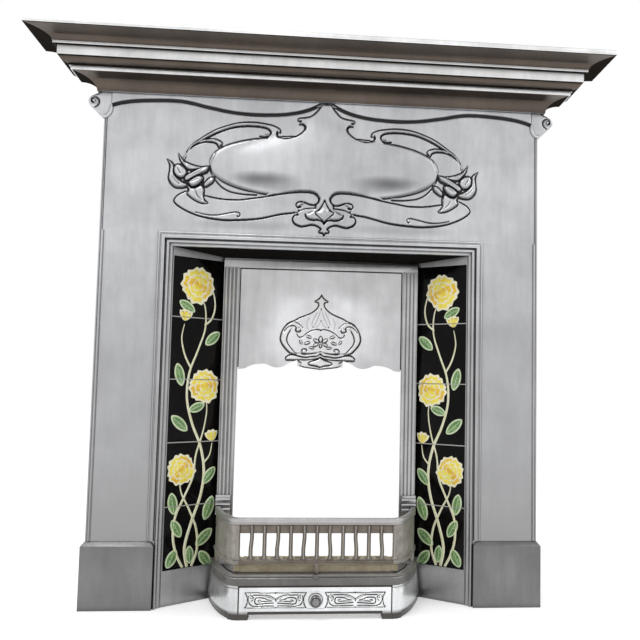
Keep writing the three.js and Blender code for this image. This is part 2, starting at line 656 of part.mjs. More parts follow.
// Everything above the sloping soffit, from the architrave to behind the frame.
const soffitSlope = SOFFIT_FALL / (FRAME_BACK - PANEL_FRONT);
const soffitZ = (y) => OPENING_TOP + CLEARANCE - soffitSlope * (y - PANEL_FRONT);
const SOFFIT_END = FRAME_BACK + CLEARANCE + THIN_WALL;

const BACKPLATE_BOLT_U = [0.2, 0.8].map((share) => TILE_U + share * TILE_SIZE);
const backplateBores = BACKPLATE_BOLT_U.map((u) => {
  const bore = new CylinderGeometry(BORE_RADIUS, BORE_RADIUS, 30, 12);
  return moved(solid(bore.translate(u, PANEL_BACK_V, SEAT_BOLT_Z)), splayTurn);
});

const STILE_BOLT_HEIGHTS = [330, 720];
const STILE_BOLT_X = STILE_X - 18;
const flangeX0 = STILE_X - 26;
const panel = (() => {
  const top = OPENING_TOP + SOFFIT_FALL;
  const block = box(POCKET_U0 - PANEL_BORDER, POCKET_U1 + PANEL_BORDER, -TILE_LIP, PANEL_BACK_V,
    0, top);
  const pocket = box(POCKET_U0, POCKET_U1, 0, 2 * PANEL_BACK_V, TILE_BOTTOM - CLEARANCE,
    POCKET_TOP);
  const window = box(TILE_U + TILE_LAP, TILE_U + TILE_SIZE - TILE_LAP, -2 * TILE_LIP, 1,
    TILE_BOTTOM + TILE_LAP, POCKET_TOP - CLEARANCE - TILE_LAP);
  const hollow = box(POCKET_U0, POCKET_U1, TILE_LIP, 2 * PANEL_BACK_V, -1, SEAT_BOTTOM);
  const turned = moved(block.subtract(pocket).subtract(window).subtract(hollow), splayTurn);
  const flange = box(flangeX0, STILE_X - 1, FRAME_BACK + CLEARANCE, SOFFIT_END, 0, top);
  const tooHigh = sideways([
    [0, soffitZ(0) - CLEARANCE], [2 * SOFFIT_END, soffitZ(2 * SOFFIT_END) - CLEARANCE],
    [2 * SOFFIT_END, 2 * top], [0, 2 * top],
  ], 0, JAMB_X);
  const bores = STILE_BOLT_HEIGHTS.map((z) =>
    rodAlongY(STILE_BOLT_X, z, FRAME_BACK, 2 * SOFFIT_END, BORE_RADIUS));
  // The pocket cuts the flange's root too, so that no iron stands in the way of a tile.
  const clearOfTiles = moved(pocket, splayTurn);
  return [tooHigh, ...bores, ...backplateBores, clearOfTiles].reduce(
    (body, cut) => body.subtract(cut),
    turned.add(flange).subtract(box(0, JAMB_X, -JAMB_X, PANEL_FRONT, -1, 2 * top)),
  );
})();
add('tile_panel_left', mirrored(panel), darkIron);
add('tile_panel_right', panel, darkIron);

const backplate = [...backplateBores].reduce(
  (body, bore) => body.subtract(bore),
  moved(box(POCKET_U0 - PANEL_BORDER / 2, POCKET_U1, PLATE_V, PLATE_V + BACKPLATE_THICKNESS,
    SEAT_BOTTOM, POCKET_TOP + PANEL_BORDER / 2), splayTurn),
);
add('tile_backplate_left', mirrored(backplate), backIron);
add('tile_backplate_right', backplate, backIron);

for (const [side, sign] of [['left', -1], ['right', 1]]) {
  const splay = new Group();
  splay.position.set(sign * SPLAY_OUTER.x, SPLAY_OUTER.y, 0);
  splay.rotation.z = Math.atan2(SPLAY_ALONG.y, sign * SPLAY_ALONG.x);
  fireplace.add(splay);
  for (let i = 0; i < TILES_PER_SIDE; i++) {
    const tile = new Mesh(new BoxGeometry(TILE_SIZE, TILE_THICKNESS, TILE_SIZE), tileGlaze);
    tile.name = `tile_${side}_${i + 1}`;
    tile.position.set(TILE_U + TILE_SIZE / 2, -sign * (CLEARANCE + TILE_THICKNESS / 2),
      TILE_BOTTOM + i * TILE_PITCH + TILE_SIZE / 2);
    splay.add(tile);
  }
  BACKPLATE_BOLT_U.forEach((u, i) => {
    const v = PLATE_V + BACKPLATE_THICKNESS + CLEARANCE;
    const at = new Vector3(u, v, SEAT_BOLT_Z).applyMatrix4(splayTurn);
    at.x *= sign;
    const towards = new Vector3(-sign * SPLAY_BEHIND.x, -SPLAY_BEHIND.y, 0);
    bolt(`backplate_bolt_${side}_${i + 1}`, at, towards, BACKPLATE_THICKNESS + TILE_THICKNESS);
  });
  STILE_BOLT_HEIGHTS.forEach((z, i) => {
    const at = new Vector3(sign * STILE_BOLT_X, SOFFIT_END + CLEARANCE, z);
    bolt(`frame_bolt_${side}_${i + 1}`, at, FORWARD, THIN_WALL + FRAME_THICKNESS / 2);
  });
}

// ---- Soffit over the recess ----
const soffit = (() => {
  const outer = ARRIS_X + 10;
  const plan = upright([
    [-outer, PANEL_FRONT], [outer, PANEL_FRONT], [STILE_X, SOFFIT_END], [-STILE_X, SOFFIT_END],
  ], SOFFIT_BACK_Z - 20, OPENING_TOP + 20);
  const slab = sideways([
    [0, soffitZ(0)], [2 * SOFFIT_END, soffitZ(2 * SOFFIT_END)],
    [2 * SOFFIT_END, soffitZ(2 * SOFFIT_END) + SOFFIT_THICKNESS], [0, soffitZ(0) + SOFFIT_THICKNESS],
  ], -JAMB_X, JAMB_X);
  return plan.intersect(slab);
})();
add('soffit_panel', soffit, darkIron);

// ---- Inner frame: reeded stiles, head rail and foot blocks ----
const FOOT_BLOCK_TOP = FOOT_BLOCK_BOTTOM + FOOT_BLOCK_HEIGHT;
const REED_PITCH = (STILE_WIDTH - 2) / REEDS;
const THROAT_TOP = FIREBOX_TOP;
const THROAT_BOLT_X = THROAT_WIDTH / 2 - 30;
const THROAT_BOLT_Z = (FIREBOX_TOP + HEAD_TOP) / 2;
const HOOD_TOP = FIREBOX_TOP - HOOD_GAP;
const EAR_X1 = FIREBOX_X + 11;
const EAR_BOLT_X = FIREBOX_X + 5;
const EAR_HEIGHTS = EAR_DROPS.map((drop) => HOOD_TOP - drop);

const footBlock = (() => {
  const x1 = STILE_X - 1;
  const block = box(x1 - FOOT_BLOCK_WIDTH, x1 + 3, FRAME_FRONT - FOOT_BLOCK_DEPTH / 2,
    FRAME_FRONT + 1, FOOT_BLOCK_BOTTOM, FOOT_BLOCK_TOP);
  const bars = [0.26, 0.51, 0.76].map((share) =>
    rodAlongX(FRAME_FRONT - FOOT_BLOCK_DEPTH / 2, FOOT_BLOCK_BOTTOM + share * FOOT_BLOCK_HEIGHT,
      x1 - FOOT_BLOCK_WIDTH, x1 + 3, FOOT_BLOCK_DEPTH / 2, 8));
  return join(block, bars);
})();

const innerFrame = (() => {
  const plate = frontal(shapeOf([
    [-STILE_X, 0], [-FIREBOX_X, 0], [-FIREBOX_X, FIREBOX_TOP], [FIREBOX_X, FIREBOX_TOP],
    [FIREBOX_X, 0], [STILE_X, 0], [STILE_X, HEAD_TOP], [-STILE_X, HEAD_TOP],
  ]), FRAME_BACK, FRAME_THICKNESS);
  const headFlange = box(-STILE_X, STILE_X, FRAME_BACK - FRAME_THICKNESS / 2, FRAME_BACK,
    HEAD_TOP - 1, SOFFIT_BACK_Z - CLEARANCE);
  const reeds = Array.from({ length: REEDS }, (_, i) => {
    const x = FIREBOX_X + 1 + (i + 0.5) * REED_PITCH;
    return rodAlongZ(x, FRAME_FRONT + REED_HEIGHT / 2, FOOT_BLOCK_TOP - 1, FIREBOX_TOP,
      1.5 * REED_HEIGHT, 8);
  });
  const bores = [
    ...STILE_BOLT_HEIGHTS.map((z) => [STILE_BOLT_X, z]),
    ...EAR_HEIGHTS.map((z) => [EAR_BOLT_X, z]),
    [THROAT_BOLT_X, THROAT_BOLT_Z],
  ].map(([x, z]) => rodAlongY(x, z, FRAME_BACK - 0.75 * FRAME_THICKNESS, FRAME_BACK + 5,
    BORE_RADIUS));
  return bores.flatMap(bothSides).reduce((body, bore) => body.subtract(bore),
    join(plate, headFlange, reeds.flatMap(bothSides), bothSides(footBlock)));
})();
add('inner_frame', innerFrame, polishedIron);

// ---- Hood: scalloped lower edge, relief ornament and ears behind the stiles ----
const symmetric = (half) => [...half, ...half.map(([x, z]) => [-x, z]).reverse()];
const HOOD_FRONT = FRAME_FRONT + 1;
const HOOD_BACK = HOOD_FRONT + HOOD_THICKNESS;
const HOOD_X = FIREBOX_X - HOOD_GAP;
const hoodEdge = [
  ...smooth([[0, -HOOD_HEIGHT + 1], [34, -250.5], [50, -249], [57, -246]], 2),
  ...smooth([[60, -230.5], [76, -235], [89, -241.5], [101, -248.5], [113, -249], [127, -244],
    [140, -239], [160, -240], [177, -246], [192, -252], [HOOD_X, -HOOD_HEIGHT]], 2),
];
const hoodRelief = [
  // ogee crest with its finial
  symmetric(smooth([[0.5, -72], [15, -78], [9, -87], [13, -96], [28, -107], [50, -117],
    [70, -129], [62, -136], [44, -128], [24, -118], [8, -110], [0.5, -106]], 2)),
  // leaf garland between the scrolls
  symmetric(smooth([[0.5, -144], [22, -148], [37, -156], [50, -163], [62, -160], [58, -170],
    [47, -176], [37, -168], [22, -158], [0.5, -154]], 2)),
  // moulded base line
  symmetric(smooth([[0.5, -211], [10, -217], [26, -221], [44, -220], [63, -216], [78, -214],
    [92, -222], [86, -230], [62, -229], [36, -230], [16, -228], [0.5, -223]], 2)),
  symmetric([[0.5, -233], [16, -235], [30, -237], [14, -242], [0.5, -247]]),
];
const hoodScroll = [...smooth([[53, -158], [48, -148], [60, -136], [75, -130.5], [88, -136],
  [97, -149], [101.5, -165], [100.5, -180], [93, -195], [82, -206], [74, -213]], 2),
...smooth([[60, -207], [72.5, -192], [80.5, -179], [83.5, -164], [82, -149], [72, -143],
  [62, -149], [66, -158], [59, -164], [53, -158]], 2)];

const hood = (() => {
  const onHood = (points) => points.map(([x, z]) => [x, HOOD_TOP + z]);
  const raise = (points) =>
    frontal(shapeOf(onHood(points)), HOOD_BACK - 2, HOOD_THICKNESS + HOOD_RELIEF - 2, 1.5);
  const outline = symmetric([[HOOD_X, 0], ...hoodEdge.toReversed()]);
  const plate = frontal(shapeOf(onHood(outline)), HOOD_BACK, HOOD_THICKNESS);
  const ears = EAR_HEIGHTS.map((z) => {
    const root = box(HOOD_X - 12, HOOD_X, HOOD_BACK - 1, FRAME_BACK + CLEARANCE + 4, z - 12,
      z + 12);
    const ear = box(HOOD_X - 12, EAR_X1, FRAME_BACK + CLEARANCE, FRAME_BACK + CLEARANCE + 4,
      z - 12, z + 12);
    const bore = rodAlongY(EAR_BOLT_X, z, FRAME_BACK, FRAME_BACK + 20, BORE_RADIUS);
    return root.add(ear).subtract(bore);
  });
  return join(plate, hoodRelief.map(raise), bothSides(raise(hoodScroll)), ears.flatMap(bothSides));
})();
add('hood', hood, polishedIron);
for (const [side, sign] of [['left', -1], ['right', 1]]) {
  EAR_HEIGHTS.forEach((z, i) => {
    const at = new Vector3(sign * EAR_BOLT_X, FRAME_BACK + 4 + 2 * CLEARANCE, z);
    bolt(`hood_bolt_${side}_${i + 1}`, at, FORWARD, 4 + FRAME_THICKNESS / 2);
  });
}

// ---- Throat behind the head rail, and the damper flap on its pin ----
const THROAT_X = THROAT_WIDTH / 2;
const THROAT_FRONT = FRAME_BACK + CLEARANCE;
const THROAT_REAR = THROAT_FRONT + THROAT_DEPTH;
const THROAT_BOTTOM = THROAT_TOP - THROAT_HEIGHT;
const PIN_Y = THROAT_REAR - THIN_WALL - 2.5 * FLAP_PIN_RADIUS;
const PIN_Z = (THROAT_TOP + THROAT_BOTTOM) / 2;
const LEDGE_TOP = PIN_Z - FLAP_THICKNESS / 2 - CLEARANCE;
const throat = (() => {
  const ring = box(-THROAT_X, THROAT_X, THROAT_FRONT, THROAT_REAR, THROAT_BOTTOM, THROAT_TOP)
    .subtract(box(THIN_WALL - THROAT_X, THROAT_X - THIN_WALL, THROAT_FRONT + THIN_WALL,
      THROAT_REAR - THIN_WALL, THROAT_BOTTOM - 1, THROAT_TOP + 1));
  const flange = box(-THROAT_X, THROAT_X, THROAT_FRONT, THROAT_FRONT + THIN_WALL,
    THROAT_TOP - 1, HEAD_TOP);
  const ledge = box(-THROAT_X + 1, THROAT_X - 1, THROAT_FRONT + 1, THROAT_FRONT + 2 * THIN_WALL,
    LEDGE_TOP - THIN_WALL, LEDGE_TOP);
  const pinBore = rodAlongX(PIN_Y, PIN_Z, -THROAT_X - 1, THROAT_X + 1,
    FLAP_PIN_RADIUS + 2 * CLEARANCE);
  const bolts = bothSides(rodAlongY(THROAT_BOLT_X, THROAT_BOLT_Z, THROAT_FRONT - 1,
    THROAT_FRONT + 2 * THIN_WALL, BORE_RADIUS));
  return [pinBore, ...bolts].reduce((body, cut) => body.subtract(cut), join(ring, flange, ledge));
})();
add('throat', throat, backIron);
for (const [side, sign] of [['left', -1], ['right', 1]]) {
  const at = new Vector3(sign * THROAT_BOLT_X, THROAT_FRONT + THIN_WALL + CLEARANCE,
    THROAT_BOLT_Z);
  bolt(`throat_bolt_${side}`, at, FORWARD, THIN_WALL + FRAME_THICKNESS / 2);
}
add('damper_pin', rodAlongX(PIN_Y, PIN_Z, -THROAT_X, THROAT_X, FLAP_PIN_RADIUS), boltSteel);

const damperFlap = (() => {
  const x = THROAT_X - THIN_WALL - 2;
  const front = THROAT_FRONT + THIN_WALL + 2;
  const plate = box(-x, x, front, PIN_Y, PIN_Z - FLAP_THICKNESS / 2, PIN_Z + FLAP_THICKNESS / 2);
  const barrel = rodAlongX(PIN_Y, PIN_Z, -x, x, 2 * FLAP_PIN_RADIUS);
  const bore = rodAlongX(PIN_Y, PIN_Z, -x - 1, x + 1, FLAP_PIN_RADIUS + 2 * CLEARANCE);
  return join(plate, barrel).subtract(bore);
})();
add('damper_flap', damperFlap, backIron);

// ---- Bow of the grate in plan: a straight front and two cheeks that sweep back ----
const BOW_STEPS = 9;
const BOW_CORNER = 33; // how tightly the cheek leaves the straight front
const rightCheek = (() => {
  const corner = new Vector2(GRATE_FLAT_WIDTH / 2, GRATE_FRONT);
  const end = new Vector2(STILE_X + 2, GRATE_END);
  const cheek = new CubicBezierCurve(
    corner,
    new Vector2(corner.x + BOW_CORNER, corner.y),
    new Vector2(end.x - 12, end.y - GRATE_END),
    end,
  );
  return Array.from({ length: BOW_STEPS + 1 }, (_, i) => {
    const ahead = i < BOW_STEPS ? cheek.getTangent(i / BOW_STEPS) : new Vector2(0, 1);
    return {
      at: cheek.getPoint(i / BOW_STEPS),
      out: new Vector2(ahead.y, -ahead.x),
      along: i / BOW_STEPS,
    };
  });
})();
const leftCheek = rightCheek.map(({ at, out, along }) => ({
  at: new Vector2(-at.x, at.y), out: new Vector2(-out.x, out.y), along,
})).reverse();
const station = ({ at, out }) => (d, z) => [at.x + out.x * d, at.y + out.y * d, z];
const bow = [...leftCheek, ...rightCheek].map(station);

// ---- Fire bars: two rails round the bow, cheeks, a lintel web and the bars ----
const TOP_RAIL_FOOT = GRATE_HEAD - TOP_RAIL_HEIGHT;
const LINTEL_FOOT = TOP_RAIL_FOOT - LINTEL_HEIGHT;
const BARS_BOTTOM = BARS_FOOT + BOTTOM_RAIL_HEIGHT;
const BAR_PITCH = (GRATE_FLAT_WIDTH + 4) / (BAR_COUNT - 1);
const FIRE_BAR_END = FRAME_FRONT - FOOT_BLOCK_DEPTH - CLEARANCE;
const RAIL_DEPTH = 11;
const WEB = [-RAIL_DEPTH + 2, -4]; // depth of the web and cheeks behind the bars' face

function fireBar(index) {
  const x = (index - (BAR_COUNT - 1) / 2) * BAR_PITCH;
  const sway = index % 2 ? Math.sign(x) * BAR_WAVE : 0;
  const straight = [[0, 5], [0.05, 1.8], [0.14, 0], [1, 0]];
  const waved = [[0, 5], [0.05, 1.8], [0.14, 0], [0.32, 0], [0.5, 0], [0.68, 0], [0.86, 0], [1, 0]];
  const profile = (sway ? waved : straight).map(([share, flare]) => ({
    z: BARS_BOTTOM - 1 + share * (TOP_RAIL_FOOT + 2 - BARS_BOTTOM),
    middle: x + sway * Math.sin(2 * Math.PI * share),
    half: BAR_WIDTH / 2 + flare,
  }));
  return frontal(shapeOf([
    ...profile.map(({ z, middle, half }) => [middle + half, z]),
    ...profile.map(({ z, middle, half }) => [middle - half, z]).reverse(),
  ]), GRATE_FRONT + BAR_DEPTH - 2, BAR_DEPTH - 2.5, 2);
}

const fireBars = (() => {
  const topRail = sweep([
    [-RAIL_DEPTH, TOP_RAIL_FOOT], [-1, TOP_RAIL_FOOT], [0, TOP_RAIL_FOOT + 2],
    [-1.5, TOP_RAIL_FOOT + 4.5], [0.5, TOP_RAIL_FOOT + 7], [1, GRATE_HEAD - 6],
    [-1, GRATE_HEAD - 1], [-4, GRATE_HEAD], [-RAIL_DEPTH, GRATE_HEAD],
  ], bow);
  const bottomRail = sweep([
    [-RAIL_DEPTH, BARS_FOOT], [-1, BARS_FOOT], [0, BARS_FOOT + 5], [2, BARS_FOOT + 6.5],
    [2, BARS_FOOT + 9.5], [0, BARS_FOOT + 11], [-1, BARS_BOTTOM], [-RAIL_DEPTH, BARS_BOTTOM],
  ], bow);
  const [inner, outer] = WEB;
  const cheek = sweep([
    [inner, BARS_FOOT + 1], [outer + 2, BARS_FOOT + 1], [outer + 2, TOP_RAIL_FOOT + 1],
    [inner, TOP_RAIL_FOOT + 1],
  ], rightCheek.map(station));
  const lintel = box(-GRATE_FLAT_WIDTH / 2 - 1, GRATE_FLAT_WIDTH / 2 + 1, GRATE_FRONT - outer,
    GRATE_FRONT - inner, LINTEL_FOOT, TOP_RAIL_FOOT + 1);
  const bars = Array.from({ length: BAR_COUNT }, (_, i) => fireBar(i));
  const centreLeg = box(-BAR_WIDTH / 2, BAR_WIDTH / 2, GRATE_FRONT + 1, GRATE_FRONT + RAIL_DEPTH,
    RAIL_TOP + CLEARANCE, BARS_FOOT + 1);
  // The legs at the ends stand on the deep rail just in front of the frame.
  const endLegs = sweep([
    [-8, RAIL_TOP + CLEARANCE], [-1, RAIL_TOP + CLEARANCE], [-1, BARS_FOOT + 1],
    [-8, BARS_FOOT + 1],
  ], rightCheek.slice(-3).map(station));
  const behind = box(-JAMB_X, JAMB_X, FIRE_BAR_END, FIRE_BAR_END + 100, 0, 2 * GRATE_HEAD);
  return join(topRail, bottomRail, bothSides(cheek), lintel, bars, centreLeg, bothSides(endLegs))
    .subtract(behind);
})();
add('fire_bars', fireBars, barIron);

// ---- Deep rail under the fire bars, with a ledge for the bottom grate ----
const GRATE_SEAT = RAIL_TOP + 3;
const GRATE_Y0 = GRATE_FRONT + GRATE_THICKNESS;
const BEARER_Y = GRATE_Y0 + GRATE_DEPTH - 12;
const BEARER_DEPTH = 14;
const baseRail = (() => {
  const p = RAIL_PROJECTION;
  const foot = RAIL_TOP - RAIL_HEIGHT;
  const rail = sweep([
    [0, foot], [p - 1, foot], [p, foot + 2], [p, RAIL_TOP - 7], [p - 2, RAIL_TOP - 5],
    [p + 1, RAIL_TOP - 3.5], [p + 1, RAIL_TOP - 1], [p - 1, RAIL_TOP], [-RAIL_DEPTH, RAIL_TOP],
    [-RAIL_DEPTH, RAIL_TOP - 6], [0, RAIL_TOP - 9],
  ], bow);
  const half = GRATE_FLAT_WIDTH / 2;
  const ledge = join(
    box(-half, half, GRATE_FRONT + RAIL_DEPTH - 1, GRATE_Y0 + 6, RAIL_TOP - 6, RAIL_TOP),
    box(-half, half, GRATE_Y0 + 1, GRATE_Y0 + 9, RAIL_TOP - 6, GRATE_SEAT),
  );
  const cheekAt = STILE_X - 18;
  const bearer = box(-cheekAt, cheekAt, BEARER_Y, BEARER_Y + BEARER_DEPTH, RAIL_TOP - 6,
    GRATE_SEAT);
  const tie = box(cheekAt - 14, cheekAt + 8, BEARER_Y, BEARER_Y + BEARER_DEPTH, RAIL_TOP - 6,
    RAIL_TOP);
  const boss = rodAlongZ(0, GRATE_FRONT - 1, RAIL_TOP - 7, RAIL_TOP, 10, 16);
  return join(rail, ledge, bearer, bothSides(tie), boss);
})();
add('base_rail', baseRail, railIron);

// ---- Bottom grate: a flat grid that lies on the ledge and the bearer ----
const bottomGrate = (() => {
  const half = GRATE_FLAT_WIDTH / 2 - 4;
  const z0 = GRATE_SEAT + CLEARANCE;
  const border = 10;
  const slab = box(-half, half, GRATE_Y0, GRATE_Y0 + GRATE_DEPTH, z0, z0 + GRATE_THICKNESS);
  const pitch = (2 * half - border) / GRATE_BARS;
  const slots = Array.from({ length: GRATE_BARS }, (_, i) => {
    const x = -half + border + i * pitch;
    return box(x, x + pitch - border, GRATE_Y0 + border, GRATE_Y0 + GRATE_DEPTH - border, z0 - 1,
      z0 + GRATE_THICKNESS + 1);
  });
  return slots.reduce((body, slot) => body.subtract(slot), slab);
})();
add('bottom_grate', bottomGrate, burntIron);

// ---- Base: wings beside the ash pit and the cover between them ----
const COVER_X = COVER_WIDTH / 2;
const KICK = [ // section of the recessed band above the hearth
  [-KICK_SETBACK, -1], [-KICK_SETBACK, KICK_HEIGHT], [20, KICK_HEIGHT], [20, -1],
];
const baseSection = [
  [-COVER_THICKNESS, 0], [0, 0], [0, COVER_TOP - 7], [-1, COVER_TOP - 6.5], [0, COVER_TOP - 5.5],
  [0, COVER_TOP - 1], [-1.5, COVER_TOP], [-COVER_THICKNESS, COVER_TOP],
];
const wing = (() => {
  // The cheeks flare outwards towards the back, most of all at the hearth.
  const flared = ({ at, out, along }) => (d, z) => {
    const flare = WING_FLARE * along * along * (1 - 0.6 * z / COVER_TOP);
    return [at.x + out.x * (d + flare), at.y + out.y * (d + flare), z];
  };
  const seam = COVER_X + CLEARANCE;
  const start = (d, z) => [seam, GRATE_FRONT - d, z];
  const stations = [start, ...rightCheek.slice(1).map(flared)];
  const kick = sweep(KICK, stations).subtract(box(0, COVER_X + FOOT_WIDTH, -JAMB_X, JAMB_X, -5,
    COVER_TOP));
  return sweep(baseSection, stations).subtract(kick);
})();
add('base_wing_left', mirrored(wing), polishedIron);
add('base_wing_right', wing, polishedIron);

const STRAP_HEIGHT = 3;
const coverBottom = 0.4; // the cover hangs just clear of the hearth
const cover = (() => {
  const foot = COVER_X - FOOT_WIDTH;
  const section = baseSection.map(([d, z]) => [GRATE_FRONT - d, Math.max(z, coverBottom)]);
  const plate = sideways(section, -COVER_X, COVER_X);
  const kick = sideways(KICK.map(([d, z]) => [GRATE_FRONT - d, z]), -foot, foot);
  const arch = frontal(shapeOf([
    [-foot, -1], ...smooth([[-foot, 0], [-foot + 5, KICK_ARCH - 2], [-foot + 14, KICK_ARCH],
      [foot - 14, KICK_ARCH], [foot - 5, KICK_ARCH - 2], [foot, 0]], 3), [foot, -1],
  ]), GRATE_FRONT + 2 * COVER_THICKNESS, 3 * COVER_THICKNESS);
  // Strapwork: two long bands, tied by crossings, on either side of the knob.
  const knobZ = KICK_HEIGHT + (COVER_TOP - 7 - KICK_HEIGHT) / 2;
  const strap = (x0, x1, z) => frontal(shapeOf([
    [x0, z - STRAP_HEIGHT / 2], [x1, z - STRAP_HEIGHT / 2], [x1 + 2, z], [x1, z + STRAP_HEIGHT / 2],
    [x0, z + STRAP_HEIGHT / 2], [x0 - 2, z],
  ]), GRATE_FRONT + 1, 2.5);
  const panelX = COVER_X - 18;
  const straps = [-12, -4, 4, 12].flatMap((dz) => bothSides(strap(24, panelX - 4, knobZ + dz)));
  const ends = bothSides(frontal(shapeOf([
    [panelX - 8, knobZ - 15], [panelX, knobZ - 12], [panelX + 2, knobZ], [panelX, knobZ + 12],
    [panelX - 8, knobZ + 15], [panelX - 4, knobZ],
  ]), GRATE_FRONT + 1, 2.5));
  const stem = rodAlongY(0, knobZ, GRATE_FRONT - 1, GRATE_FRONT + COVER_THICKNESS + 1, 4);
  return { body: join(plate.subtract(kick).subtract(arch), straps, ends).subtract(stem), knobZ };
})();
add('ashpan_cover', cover.body, polishedIron);

const knobProfile = [
  [0, 0], [8, 0], [9, 2], [6, 4], [5, 7], [9, 9], [KNOB_RADIUS, 13], [KNOB_RADIUS, 16], [9, 20],
  [0, 22],
].map(([r, h]) => new Vector2(r, h));
const knob = join(
  solid(new LatheGeometry(knobProfile, 20).rotateX(Math.PI)
    .translate(0, GRATE_FRONT - 2 * CLEARANCE, cover.knobZ)),
  rodAlongY(0, cover.knobZ, GRATE_FRONT - 1, GRATE_FRONT + COVER_THICKNESS - 1, 3.5),
);
add('ashpan_knob', knob, polishedIron);

// ---- Bolts that hold the shelf down to the cornice's seat ----
for (const [side, sign] of [['left', -1], ['right', 1]]) {
  const at = new Vector3(sign * SHELF_BOLT_X, SHELF_BOLT_Y, CORNICE_TOP - THIN_WALL - CLEARANCE);
  bolt(`shelf_bolt_${side}`, at, UP, THIN_WALL + THIN_WALL / 2);
}

// The origin lies on the hearth, midway in width and in depth.
const extent = new Box3().setFromObject(fireplace);
fireplace.position.y = -(extent.min.y + extent.max.y) / 2;

export default fireplace;
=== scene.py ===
# A cast iron tiled fireplace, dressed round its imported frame.
# Shapes are written in millimetres with y = 0 on the jambs' front face, and piece() turns them
# into metres in the frame.
import math

import bmesh
import bpy
import numpy as np
from mathutils import Matrix, Vector


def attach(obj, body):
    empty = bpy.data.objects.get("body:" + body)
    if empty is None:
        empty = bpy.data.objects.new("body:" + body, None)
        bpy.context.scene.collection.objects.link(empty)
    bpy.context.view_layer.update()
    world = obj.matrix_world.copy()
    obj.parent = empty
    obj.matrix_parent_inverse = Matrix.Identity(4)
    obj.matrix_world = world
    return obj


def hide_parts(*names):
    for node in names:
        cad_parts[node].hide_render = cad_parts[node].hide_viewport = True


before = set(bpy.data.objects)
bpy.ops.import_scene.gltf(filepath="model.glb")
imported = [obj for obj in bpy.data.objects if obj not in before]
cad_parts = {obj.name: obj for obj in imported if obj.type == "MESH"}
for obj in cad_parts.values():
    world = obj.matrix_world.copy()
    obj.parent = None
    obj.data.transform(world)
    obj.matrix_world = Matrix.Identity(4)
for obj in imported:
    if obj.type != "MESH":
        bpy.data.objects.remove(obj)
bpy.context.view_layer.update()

Y_SHIFT = -18.863090515  # from the jambs' front face to the frame's origin

# ---- Heights and widths shared by the pieces, as in the frame ----
JAMB_X, ARRIS_X = 537.0, 364.0
OPENING_TOP, FRIEZE_BOTTOM, FRIEZE_TOP = 859.0, 893.0, 1226.0
RETURN_DEPTH, WALL = 18.0, 8.0
BED_BOTTOM, BED_TOP = 1305.3, 1311.3
SLAB_BOTTOM, SHELF_TOP = 1329.8, 1341.8
PLINTH_TOP = 157.3


def metres(points):
    points = np.asarray(points, dtype=float)
    return (points + np.array([0.0, Y_SHIFT, 0.0])) / 1000.0


# ---- Materials ----
def feed(tree, made, sockets):
    """Sets or links a node's sockets by name."""
    for name, value in sockets.items():
        if isinstance(value, bpy.types.NodeSocket):
            tree.links.new(value, made.inputs[name])
        else:
            made.inputs[name].default_value = value


def node(tree, kind, sockets=None, **settings):
    made = tree.nodes.new(kind)
    for key, value in settings.items():
        setattr(made, key, value)
    feed(tree, made, sockets or {})
    return made


def noise(tree, coords, scale, detail=4.0, roughness=0.55):
    return node(tree, "ShaderNodeTexNoise", {"Vector": coords, "Scale": scale, "Detail": detail,
                                             "Roughness": roughness}).outputs["Fac"]


def spread(tree, value, low, high, start=0.3, end=0.7):
    return node(tree, "ShaderNodeMapRange", {
        "Value": value, "From Min": start, "From Max": end, "To Min": low, "To Max": high,
    }).outputs["Result"]


def mixed(tree, factor, first, second):
    return node(tree, "ShaderNodeMix", {"Factor": factor, "A": first, "B": second},
                data_type="RGBA").outputs["Result"]


def bumped(tree, shader, height, strength, distance):
    bump = node(tree, "ShaderNodeBump", {"Strength": strength, "Distance": distance,
                                         "Height": height})
    feed(tree, shader, {"Normal": bump.outputs["Normal"]})


def rgba(colour, factor=1.0):
    return tuple(min(1.0, c * factor) for c in colour) + (1.0,)


def new_material(name):
    material = bpy.data.materials.new(name)
    material.use_nodes = True
    tree = material.node_tree
    return material, tree, tree.nodes["Principled BSDF"]


